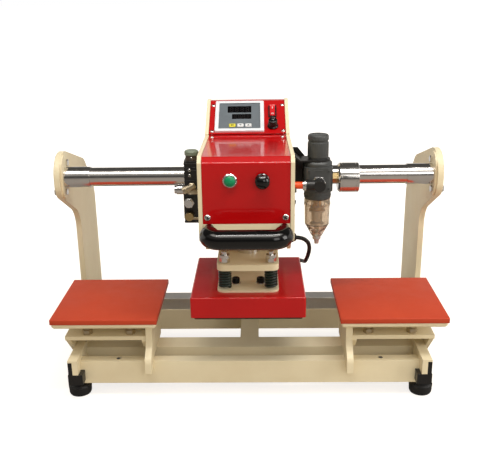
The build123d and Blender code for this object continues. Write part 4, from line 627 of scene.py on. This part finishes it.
REG_PORT_Z = 309
bm = bmesh.new()
collar = [(8.1, 0.0), (hexed(9.9), 0.0), (hexed(9.9), 1.0), (hexed(9.4), 1.5), (8.1, 1.5)]
lathe_into(bm, collar, at(REG_X, REG_FRONT, REG_PORT_Z, FRONT), 36)
finish("elbow_collar", bm, [bright], "head", 40)

# Controller: displays and keys

# The bars of a digit: across and up in half sizes, and turned in degrees
SEGMENTS = ((0, 1, 0), (0, 0, 0), (0, -1, 0), (-1, 0.5, 90), (1, 0.5, 90), (-1, -0.5, 90), (1, -0.5, 90))
BAR_HALF = 0.72
DIGITS = 4
GLASS_LOW, GLASS_HIGH = 1.2, 1.65
KEY_TOP = 2.78


def digit_into(bm, x, y, width, height):
    """The seven unlit bars of one digit, just above the glass."""
    for across, up, turn in SEGMENTS:
        length = width if turn == 0 else height / 2
        tip, flat, half = 0.42 * length, 0.34 * length, BAR_HALF
        bar = [(-tip, 0), (-flat, half), (flat, half), (tip, 0), (flat, -half), (-flat, -half)]
        place = on_panel(x + across * width / 2, y + up * height / 2, GLASS_HIGH + 0.01, turn)
        prism_into(bm, bar, 0.0, 0.12, place, 1)


bm = bmesh.new()
for dx, dy, width, height in WINDOWS:
    x, y = CONTROLLER[0] + dx, CONTROLLER[1] + dy
    pane = rounded(width, height, 0.6)
    prism_into(bm, pane, 0.0, GLASS_HIGH - GLASS_LOW, on_panel(x, y, GLASS_LOW), 0, 0.12)
    pitch = width / (DIGITS + 0.4)
    for i in range(DIGITS):
        digit_into(bm, x + (i - (DIGITS - 1) / 2) * pitch, y, 0.5 * pitch, 0.62 * height)
finish("display_windows", bm, [display_black, segment_grey], "head", 30)

KEY_MARKS = {
    "key_set": [(-2.6, -0.45), (2.6, -0.45), (2.6, 0.45), (-2.6, 0.45)],
    "key_down": [(0, -1.5), (1.9, 1.3), (-1.9, 1.3)],
    "key_up": [(0, 1.5), (-1.9, -1.3), (1.9, -1.3)],
}
for name, outline in KEY_MARKS.items():
    bm = bmesh.new()
    x = middle(name)[0]
    prism_into(bm, outline, 0.0, 0.16, on_panel(x, KEY_ROW, KEY_TOP))
    if name == "key_set":
        for step in (-1.6, 1.6):
            block_into(bm, (3.4, 0.5, 0.16), on_panel(x, KEY_ROW + step, KEY_TOP + 0.08))
    finish(name + "_mark", bm, [dark_marks_and_painted_shade], name)

# Panel rocker and knob marks


def on_rocker(up, out, tilt):
    """A place on one half of the panel rocker, straight above the knob and tilted by some degrees."""
    return on_panel(KNOB_AT[0], up, out) @ turned(tilt, "X")


bm = bmesh.new()
block_into(bm, (1.0, 3.6, 0.3), on_rocker(56.2, 3.72, 16), 0.1)
lathe_into(bm, [(1.9, 0.0), (1.9, 0.25), (1.2, 0.25), (1.2, 0.0)], on_rocker(44.3, 2.2, -2), 24)
finish("rocker_marks", bm, [key_white], "panel_rocker")

bm = bmesh.new()
grip = [(3.0, -0.2), (3.0, 0.6), (7.7, 0.6), (8.0, 0.9), (8.0, 2.2), (7.7, 2.6)]
grip += [(ribbed(6.9, 18, 0.45), 3.5), (ribbed(6.5, 18, 0.45), 11.2), (5.9, 12.1), (5.2, 12.45), (0, 12.5)]
lathe_into(bm, grip, on_panel(*KNOB_AT), 108)
for size, reach, high, edge in (((2.6, 6.2, 0.9), 2.5, 12.55, 0.2), ((1.5, 0.9, 5.0), 6.2, 9.8, 0.1)):
    block_into(bm, size, on_panel(*KNOB_AT, high, KNOB_TURN) @ at(0, reach, 0), edge, index=1)
knob = finish("dial_knob", bm, [handle_black, key_white], "rotary_knob", 30, "rotary_knob")

# Regulator: knob, body lines, bowl rim and filter

GRIP_AT = at(REG_X, REG_Y, corners("regulator_knob")[0][2])
BODY_LOW = corners("regulator_body")[0][2]
BODY_AT = at(REG_X, REG_Y, BODY_LOW)
BOWL_AT = at(REG_X, REG_Y, corners("regulator_bowl")[0][2])
RIBS = 12

bm = bmesh.new()
wide, top = ribbed(14.6, 36, 0.3), ribbed(14.4, 36, 0.3)
grip = [(11.0, 0.0), (14.0, 0.0), (wide, 1.0), (wide, 20.2), (14.5, 21.0), (13.7, 21.6), (13.6, 24.0)]
grip += [(14.5, 24.8), (wide, 25.6), (top, 30.0), (13.4, 31.5), (11.6, 31.9), (10.8, 31.3), (0, 31.3)]
lathe_into(bm, grip, GRIP_AT, 180)
knob = finish("regulator_grip", bm, [charcoal], "regulator_knob", 30, "regulator_knob")

bm = bmesh.new()
for low, high, radius in ((4.2, 6.0, 19.3), (11.2, 12.8, 19.4), (49.0, 51.6, 19.9)):
    band = [(radius - 1.2, low), (radius, low + 0.3), (radius, high - 0.3), (radius - 1.2, high)]
    lathe_into(bm, band, BODY_AT, 72)
block_into(bm, (12.0, 0.7, 0.8), at(REG_X, REG_FRONT - 0.1, BODY_LOW + 43.4), 0.25)
for side in (-1, 1):
    for high in (17.5, 42.5):
        screw_at = at(REG_X + side * 13.6, REG_FRONT + 0.1, BODY_LOW + high, FRONT)
        socket_screw_into(bm, 2.0, 1.0, screw_at)
finish("regulator_bands", bm, [charcoal, dark_marks_and_painted_shade], "head", 30)

bm = bmesh.new()
lathe_into(bm, [(17.9, 45.6), (18.6, 46.2), (18.6, 48.4), (17.9, 49.0)], BOWL_AT, 72)
for rib in range(RIBS):
    place = BOWL_AT @ turned(360 / RIBS * rib, "Z") @ at(17.8, 0, 50.8)
    block_into(bm, (1.1, 1.6, 9.0), place, 0.3)
finish("bowl_ribs", bm, [bowl], "head", 30)

bm = bmesh.new()
shroud = [(3.0, 19.6), (9.6, 19.4), (10.4, 18.4), (10.0, 17.4), (4.0, 16.6), (3.2, 9.0), (1.2, 8.4), (0, 8.4)]
lathe_into(bm, shroud, BOWL_AT, 40)
drain = [(5.0, -0.6), (5.6, 0.0), (5.6, 3.5), (4.2, 4.2), (2.2, 6.0), (0, 6.2)]
lathe_into(bm, drain, BOWL_AT, 6, 1)
finish("filter_shroud", bm, [filter_white, plated], "head", 30)

# Gauge dial and stem

# The gauge faces the right: its local +Z runs along X from the back of its case
GAUGE_BACK, GAUGE_Z = corners("gauge_case")[0][0], middle("gauge_case")[2]
GAUGE_AT = at(GAUGE_BACK, REG_Y, GAUGE_Z) @ turned(90, "Y") @ turned(90, "Z")
DIAL_HIGH = 23.75
DIAL_START, DIAL_SWEEP = -135, 270
# Every fifth tick is a long one, and every tenth has a figure
TICKS, LONG_TICK, FIGURE = 50, 5, 10


def on_dial(angle, radius, height):
    """A place on the dial: degrees clockwise from the top, and millimetres outwards and above it."""
    return GAUGE_AT @ at(0, 0, DIAL_HIGH + height) @ turned(-angle, "Z") @ at(0, radius, 0)


def word_into(bm, word, size, place, index):
    """Raised plain figures."""
    curve = bpy.data.curves.new("figure", "FONT")
    curve.body = word
    curve.size = size * MM
    curve.extrude = 0.05 * MM
    curve.align_x = "CENTER"
    curve.align_y = "CENTER"
    mesh = evaluated("figure", curve)
    mesh.transform(place)
    count = len(bm.faces)
    bm.from_mesh(mesh)
    bm.faces.ensure_lookup_table()
    for face in bm.faces[count:]:
        face.material_index = index


bm = bmesh.new()
dial = on_dial(0, 0, 0)
lathe_into(bm, [(0, 0), (17.6, 0), (17.9, -0.15), (17.9, -0.35)], dial, 64)
for tick in range(TICKS + 1):
    angle = DIAL_START + DIAL_SWEEP * tick / TICKS
    width, length = (0.42, 3.0) if tick % LONG_TICK == 0 else (0.24, 1.7)
    block_into(bm, (width, length, 0.12), on_dial(angle, 16.6 - length / 2, 0.07), index=1)
    if tick % FIGURE == 0:
        word_into(bm, str(tick // LONG_TICK), 3.4, on_dial(angle, 10.6, 0.11) @ turned(angle, "Z"), 1)
lathe_into(bm, [(2.2, 0.05), (2.2, 0.75), (1.9, 0.95), (0.8, 0.95)], dial, 24, 1)
finish("gauge_dial", bm, [dial_white, dark_marks_and_painted_shade], "head", 30)

bm = bmesh.new()
stem = [(3.0, -8.4), (6.4, -8.0), (6.4, -5.8), (4.8, -5.2), (4.8, -3.6)]
stem += [(hexed(7.6), -3.2), (hexed(7.6), -0.2), (4.0, 0.0)]
lathe_into(bm, stem, GAUGE_AT, 48)
finish("gauge_stem", bm, [brass], "head", 30)

# Solenoid valve

VALVE_X, VALVE_Y, COIL_X = -74.0, -62.0, -75.5
COIL_FRONT, BODY_FRONT = corners("solenoid_valve")[0][1], -77.0
VALVE_LEFT = corners("solenoid_valve")[0][0]
ELBOW_X, ELBOW_Z, ELBOW_LEAN = -75.0, 310.5, -118
FINS, FIN_LOW, FIN_PITCH = 6, 309.5, 6.2

bm = bmesh.new()
for z in (333.0, 325.5):
    pan_screw_into(bm, 2.1, 1.2, at(-77.5, COIL_FRONT, z, FRONT))
for z in (297.0, 280.0):
    pan_screw_into(bm, 2.1, 1.2, at(-66.4, BODY_FRONT, z, FRONT))
pan_screw_into(bm, 1.7, 0.9, at(COIL_X, -70.3, 347.4, FRONT))
finish("valve_screws", bm, [bright, dark_marks_and_painted_shade], "head", 40)

bm = bmesh.new()
block_into(bm, (26.0, 31.0, 1.3), at(VALVE_X - 0.3, VALVE_Y, 305.2), 0.4)
block_into(bm, (16.5, 0.9, 6.0), at(VALVE_X + 1.0, BODY_FRONT - 0.5, 302.0), 0.3)
block_into(bm, (14.5, 0.9, 3.6), at(VALVE_X + 1.0, BODY_FRONT - 0.4, 264.6), 0.3)
block_into(bm, (0.9, 24.0, 35.0), at(VALVE_LEFT - 0.4, VALVE_Y - 0.5, 281.0), 0.3)
finish("valve_plates", bm, [dull_nut], "head", 30)

bm = bmesh.new()
elbow = [(0, -5.2), (3.0, -4.8), (4.6, -3.4), (4.8, 0), (4.8, 8.6), (5.4, 9.0), (5.4, 12.6)]
elbow += [(4.8, 13.2), (3.4, 13.6), (3.4, 11.0), (0, 10.8)]
lathe_into(bm, elbow, at(ELBOW_X, COIL_FRONT - 0.6, ELBOW_Z, (0, ELBOW_LEAN, 0)), 40)
nut = [(hexed(6.0), 0.0), (hexed(6.0), 3.6), (4.6, 4.2)]
lathe_into(bm, nut, at(ELBOW_X, COIL_FRONT, ELBOW_Z, FRONT), 48)
finish("valve_elbow", bm, [dull_nut], "head", 30)

bm = bmesh.new()
for fin in range(FINS):
    block_into(bm, (20.8, 24.8, 2.2), at(COIL_X, VALVE_Y, FIN_LOW + FIN_PITCH * fin), 0.6)
block_into(bm, (14.0, 1.6, 9.0), at(COIL_X, COIL_FRONT - 0.6, 314.4), 0.5)
block_into(bm, (25.8, 30.8, 2.0), at(VALVE_X, VALVE_Y, 259.6), 0.5)
finish("coil_fins", bm, [black_plastic], "head", 30)

# Tapped holes in the base, drawn as dark discs: painted shade

HOLE_X, HOLE_Y = 189.9, -92.5

bm = bmesh.new()
for side in (-1, 1):
    mouth = at(side * HOLE_X, HOLE_Y, BEAM_TOP)
    lathe_into(bm, [(2.9, 0.0), (2.5, 0.25), (2.1, 0.25), (2.0, 0.08), (0, 0.08)], mouth, 28)
finish("painted_shade_beam_holes", bm, [dark_marks_and_painted_shade], "frame")

# Silicone pads

for side, name in ((-1, "silicone_pad_left"), (1, "silicone_pad_right")):
    bm = bmesh.new()
    block_into(bm, (PAD_SIDE, PAD_SIDE, PAD_DEPTH), at(side * TABLE_X, TABLE_Y, PAD_MIDDLE), 1.2, 3)
    pad = finish(name, bm, [silicone], "frame", 40, "silicone_pads")

# Die springs between the lower plate and the pressure plate

SPRING_LOW, SPRING_HIGH = LOWER_PLATE_TOP + 0.2, corners("pressure_plate")[0][2] - 0.2
SPRING_R = 9.4
SPREAD_X, SPREAD_Y = 32.0, 50.3
WIRE_HIGH, WIRE_DEEP = 3.3, 4.6
TURNS, SIDES = 6.6, 12
STEPS = round(30 * TURNS)


def squared(value):
    """Swells a sine or cosine, which brings a round section nearer to a square."""
    return math.copysign(abs(value) ** 0.7, value)


def spring_into(bm, x, y, phase):
    """A flat wire wound from the lower plate to the pressure plate, with its ends ground thin."""
    low, high = SPRING_LOW + WIRE_HIGH / 2, SPRING_HIGH - WIRE_HIGH / 2
    rings = []
    for step in range(STEPS + 1):
        share = step / STEPS
        angle = math.tau * TURNS * share + phase
        level = low + (high - low) * share
        flat = min(1.0, 0.35 + share / 0.1, 0.35 + (1 - share) / 0.1)
        ring = []
        for side in range(SIDES):
            turn = math.tau * side / SIDES
            r = SPRING_R - WIRE_DEEP / 2 + squared(math.cos(turn)) * WIRE_DEEP / 2
            up = squared(math.sin(turn)) * WIRE_HIGH / 2 * flat
            point = Vector((x + r * math.cos(angle), y + r * math.sin(angle), level + up))
            ring.append(bm.verts.new(point * MM))
        rings.append(ring)
    for a, b in zip(rings, rings[1:]):
        for side in range(SIDES):
            after = (side + 1) % SIDES
            bm.faces.new((a[side], a[after], b[after], b[side]))
    bm.faces.new(list(reversed(rings[0])))
    bm.faces.new(rings[-1])


bm = bmesh.new()
for sx in (-1, 1):
    for sy in (-1, 1):
        spring_into(bm, sx * SPREAD_X, TABLE_Y + sy * SPREAD_Y, 0.6 * sx)
springs = finish("die_springs", bm, [spring_green], "platen", 50, "plate_springs")
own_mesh(springs)

# Heater cable

CABLE_DIAMETER = 0.006
CABLE_ROUTE = [
    (0.0624, -0.0250, 0.2180),
    (0.0764, -0.0250, 0.2180),
    (0.0876, -0.0212, 0.2103),
    (0.0910, -0.0145, 0.1980),
    (0.0894, -0.0070, 0.1835),
    (0.0870, 0.0080, 0.1695),
    (0.0870, 0.0290, 0.1595),
    (0.0846, 0.0480, 0.1535),
    (0.0765, 0.0598, 0.1510),
    (0.0635, 0.0646, 0.1502),
    (0.0503, 0.0610, 0.1500),
    (0.0420, 0.0500, 0.1500),
    (0.0420, 0.0355, 0.1500),
]


def nurbs(name, points, radius=0.0):
    """A smooth NURBS line drawn by its control points, or a tube where it has a radius."""
    data = bpy.data.curves.new(name, "CURVE")
    data.dimensions = "3D"
    data.resolution_u = 12
    data.bevel_depth = radius
    data.bevel_resolution = 5
    data.use_fill_caps = True
    spline = data.splines.new("NURBS")
    spline.points.add(len(points) - 1)
    for point, place in zip(spline.points, points):
        point.co = (*place, 1.0)
    spline.order_u = 3
    spline.use_endpoint_u = True
    return data


line = evaluated("cable_line", nurbs("cable_line", CABLE_ROUTE))
cable_mesh = evaluated("cable_tube", nurbs("cable_tube", CABLE_ROUTE, CABLE_DIAMETER / 2))
cable = bpy.data.objects.new("heater_lead", cable_mesh)
scene.collection.objects.link(cable)
cable_mesh.materials.clear()
cable_mesh.materials.append(cable_black.material)
cable_mesh.shade_smooth()
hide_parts("heater_cable")
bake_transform(cable)

# Camera

# The camera as fitted to the photograph: pixels, metres and degrees
FRAME_WIDTH, FOCAL = 484, 728.5
CAMERA_AT = (0.01485, -1.03596, 0.5642)
PITCH, YAW, ROLL = math.radians(18.46), math.radians(1.355), math.radians(-0.894)

forward = Vector((-math.sin(YAW) * math.cos(PITCH), math.cos(YAW) * math.cos(PITCH), -math.sin(PITCH)))
level = Vector((math.cos(YAW), math.sin(YAW), 0.0))
above = level.cross(forward)
right = math.cos(ROLL) * level + math.sin(ROLL) * above
up = -math.sin(ROLL) * level + math.cos(ROLL) * above
camera_data = bpy.data.cameras.new("camera")
camera_data.sensor_width = 36.0
camera_data.lens = FOCAL / FRAME_WIDTH * camera_data.sensor_width
camera_data.clip_start, camera_data.clip_end = 0.05, 60.0
camera = bpy.data.objects.new("camera", camera_data)
scene.collection.objects.link(camera)
camera.matrix_world = Matrix(
    (
        (right.x, up.x, -forward.x, CAMERA_AT[0]),
        (right.y, up.y, -forward.y, CAMERA_AT[1]),
        (right.z, up.z, -forward.z, CAMERA_AT[2]),
        (0, 0, 0, 1),
    )
)
scene.camera = camera

# Floor, world and lamps

scene.view_settings.view_transform = "Standard"


class Shading(Nodes):
    """The tree of the floor or the world, built from nothing."""

    def __init__(self, tree):
        super().__init__(tree)
        tree.nodes.clear()

    def eased(self, value, low, high, new_low, new_high):
        """A range like ranged's, with soft ends."""
        return self.ranged(value, low, high, new_low, new_high, "SMOOTHSTEP")

    def profile(self, value, start, *steps):
        """A number that starts at one level and rises by each step between two values."""
        total = start
        for low, high, rise in steps:
            total = self.math("ADD", total, self.eased(value, low, high, 0.0, rise))
        return total

    def between(self, factor, first, second):
        """One number or the other, by a factor."""
        rest = self.math("SUBTRACT", 1.0, factor)
        return self.math("ADD", self.math("MULTIPLY", factor, second), self.math("MULTIPLY", rest, first))

    def emission(self, kind, strength, colour=(1.0, 1.0, 1.0, 1.0)):
        node = self.add(kind)
        self.feed(node.inputs["Color"], colour)
        self.feed(node.inputs["Strength"], strength)
        return node.outputs[0]


FLOOR_HALF = 30
floor_mesh = bpy.data.meshes.new("floor")
floor_points = [(x * FLOOR_HALF, y * FLOOR_HALF, 0) for x, y in ((-1, -1), (1, -1), (1, 1), (-1, 1))]
floor_mesh.from_pydata(floor_points, [], [(0, 1, 2, 3)])
floor = bpy.data.objects.new("floor", floor_mesh)
scene.collection.objects.link(floor)
floor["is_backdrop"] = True
floor_material = bpy.data.materials.new("floor")
floor_material.use_nodes = True
floor_mesh.materials.append(floor_material)

# The floor is white to the camera and through glass. A mirror sees it darker, and darkest at the front
ground = Shading(floor_material.node_tree)
rays = ground.add("LightPath")
split = ground.add("SeparateXYZ")
spot = ground.add("NewGeometry").outputs["Position"]
ground.feed(split.inputs[0], spot)
far = ground.add("VectorMath", operation="LENGTH")
ground.feed(far.inputs[0], spot)
seen = ground.eased(far.outputs["Value"], 0.45, 1.3, 0.76, 1.0)
mirrored = ground.eased(split.outputs["Y"], 0.1, 0.7, 0.10, 0.5)
through = ground.math("MAXIMUM", rays.outputs["Is Camera Ray"], rays.outputs["Is Transmission Ray"])
mirrored = ground.math("MULTIPLY", rays.outputs["Is Glossy Ray"], mirrored)
strength = ground.math("ADD", ground.math("MULTIPLY", through, seen), mirrored)
lit_floor = ground.add("MixShader")
ground.feed(lit_floor.inputs[0], rays.outputs["Is Glossy Ray"])
for socket, tone in ((1, (0.52, 0.46, 0.38, 1)), (2, (0.24, 0.21, 0.18, 1))):
    diffuse = ground.add("BsdfDiffuse")
    diffuse.inputs["Color"].default_value = tone
    ground.feed(lit_floor.inputs[socket], diffuse.outputs[0])
both = ground.add("AddShader")
ground.feed(both.inputs[0], lit_floor.outputs[0])
ground.feed(both.inputs[1], ground.emission("Emission", strength))
ground.feed(ground.add("OutputMaterial").inputs["Surface"], both.outputs[0])

# The world is white to the camera. Mirrors see a white wall low down behind the object, and in front
# a dim warm room with a bright strip light high up. The rest is lit by a dome, brighter at the top
DOME_LIGHT = (0.40, 0.74)
world = bpy.data.worlds.new("studio")
scene.world = world
world.use_nodes = True
sky = Shading(world.node_tree)
rays = sky.add("LightPath")
split = sky.add("SeparateXYZ")
sky.feed(split.inputs[0], sky.add("TexCoord").outputs["Generated"])
height = split.outputs["Z"]
back_wall = sky.profile(height, 0.85, (0.25, 0.36, -0.77))
front_room = sky.profile(height, 0.08, (0.30, 0.62, 0.34), (0.74, 0.82, 5.0), (0.90, 0.96, -5.2))
behind = sky.eased(split.outputs["Y"], -0.12, 0.18, 0.0, 1.0)
mirror = sky.emission("Background", sky.between(behind, front_room, back_wall), (1.0, 0.95, 0.88, 1.0))
white = sky.emission("Background", 1.0)
dome = sky.eased(height, 0.0, 0.95, *DOME_LIGHT)
lit = sky.emission("Background", dome, (1.0, 0.95, 0.87, 1.0))
choose = sky.add("MixShader")
by_mirror_or_glass = sky.math("MAXIMUM", rays.outputs["Is Glossy Ray"], rays.outputs["Is Transmission Ray"])
sky.feed(choose.inputs[0], by_mirror_or_glass)
sky.feed(choose.inputs[1], lit)
sky.feed(choose.inputs[2], mirror)
show = sky.add("MixShader")
sky.feed(show.inputs[0], rays.outputs["Is Camera Ray"])
sky.feed(show.inputs[1], choose.outputs[0])
sky.feed(show.inputs[2], white)
sky.feed(sky.add("OutputWorld").inputs["Surface"], show.outputs[0])


def lamp(name, place, target, size, power):
    """A warm white softbox that faces its target."""
    data = bpy.data.lights.new(name, "AREA")
    data.shape = "RECTANGLE"
    data.size, data.size_y = size
    data.energy = power
    data.color = (1.0, 0.975, 0.94)
    obj = bpy.data.objects.new(name, data)
    scene.collection.objects.link(obj)
    obj.location = place
    obj.rotation_euler = (Vector(target) - Vector(place)).to_track_quat("-Z", "Y").to_euler()


lamp("top_tube", (0.15, -0.60, 1.75), (0, -0.10, 0.2), (1.5, 0.11), 15.0)
lamp("front_box", (0.9, -1.9, 1.1), (0, 0, 0.22), (1.0, 0.8), 6.6)
lamp("right_box", (1.7, -0.6, 0.8), (0, 0, 0.2), (0.7, 0.9), 10.0)

# The box round everything that is shown, without the floor

low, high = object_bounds()
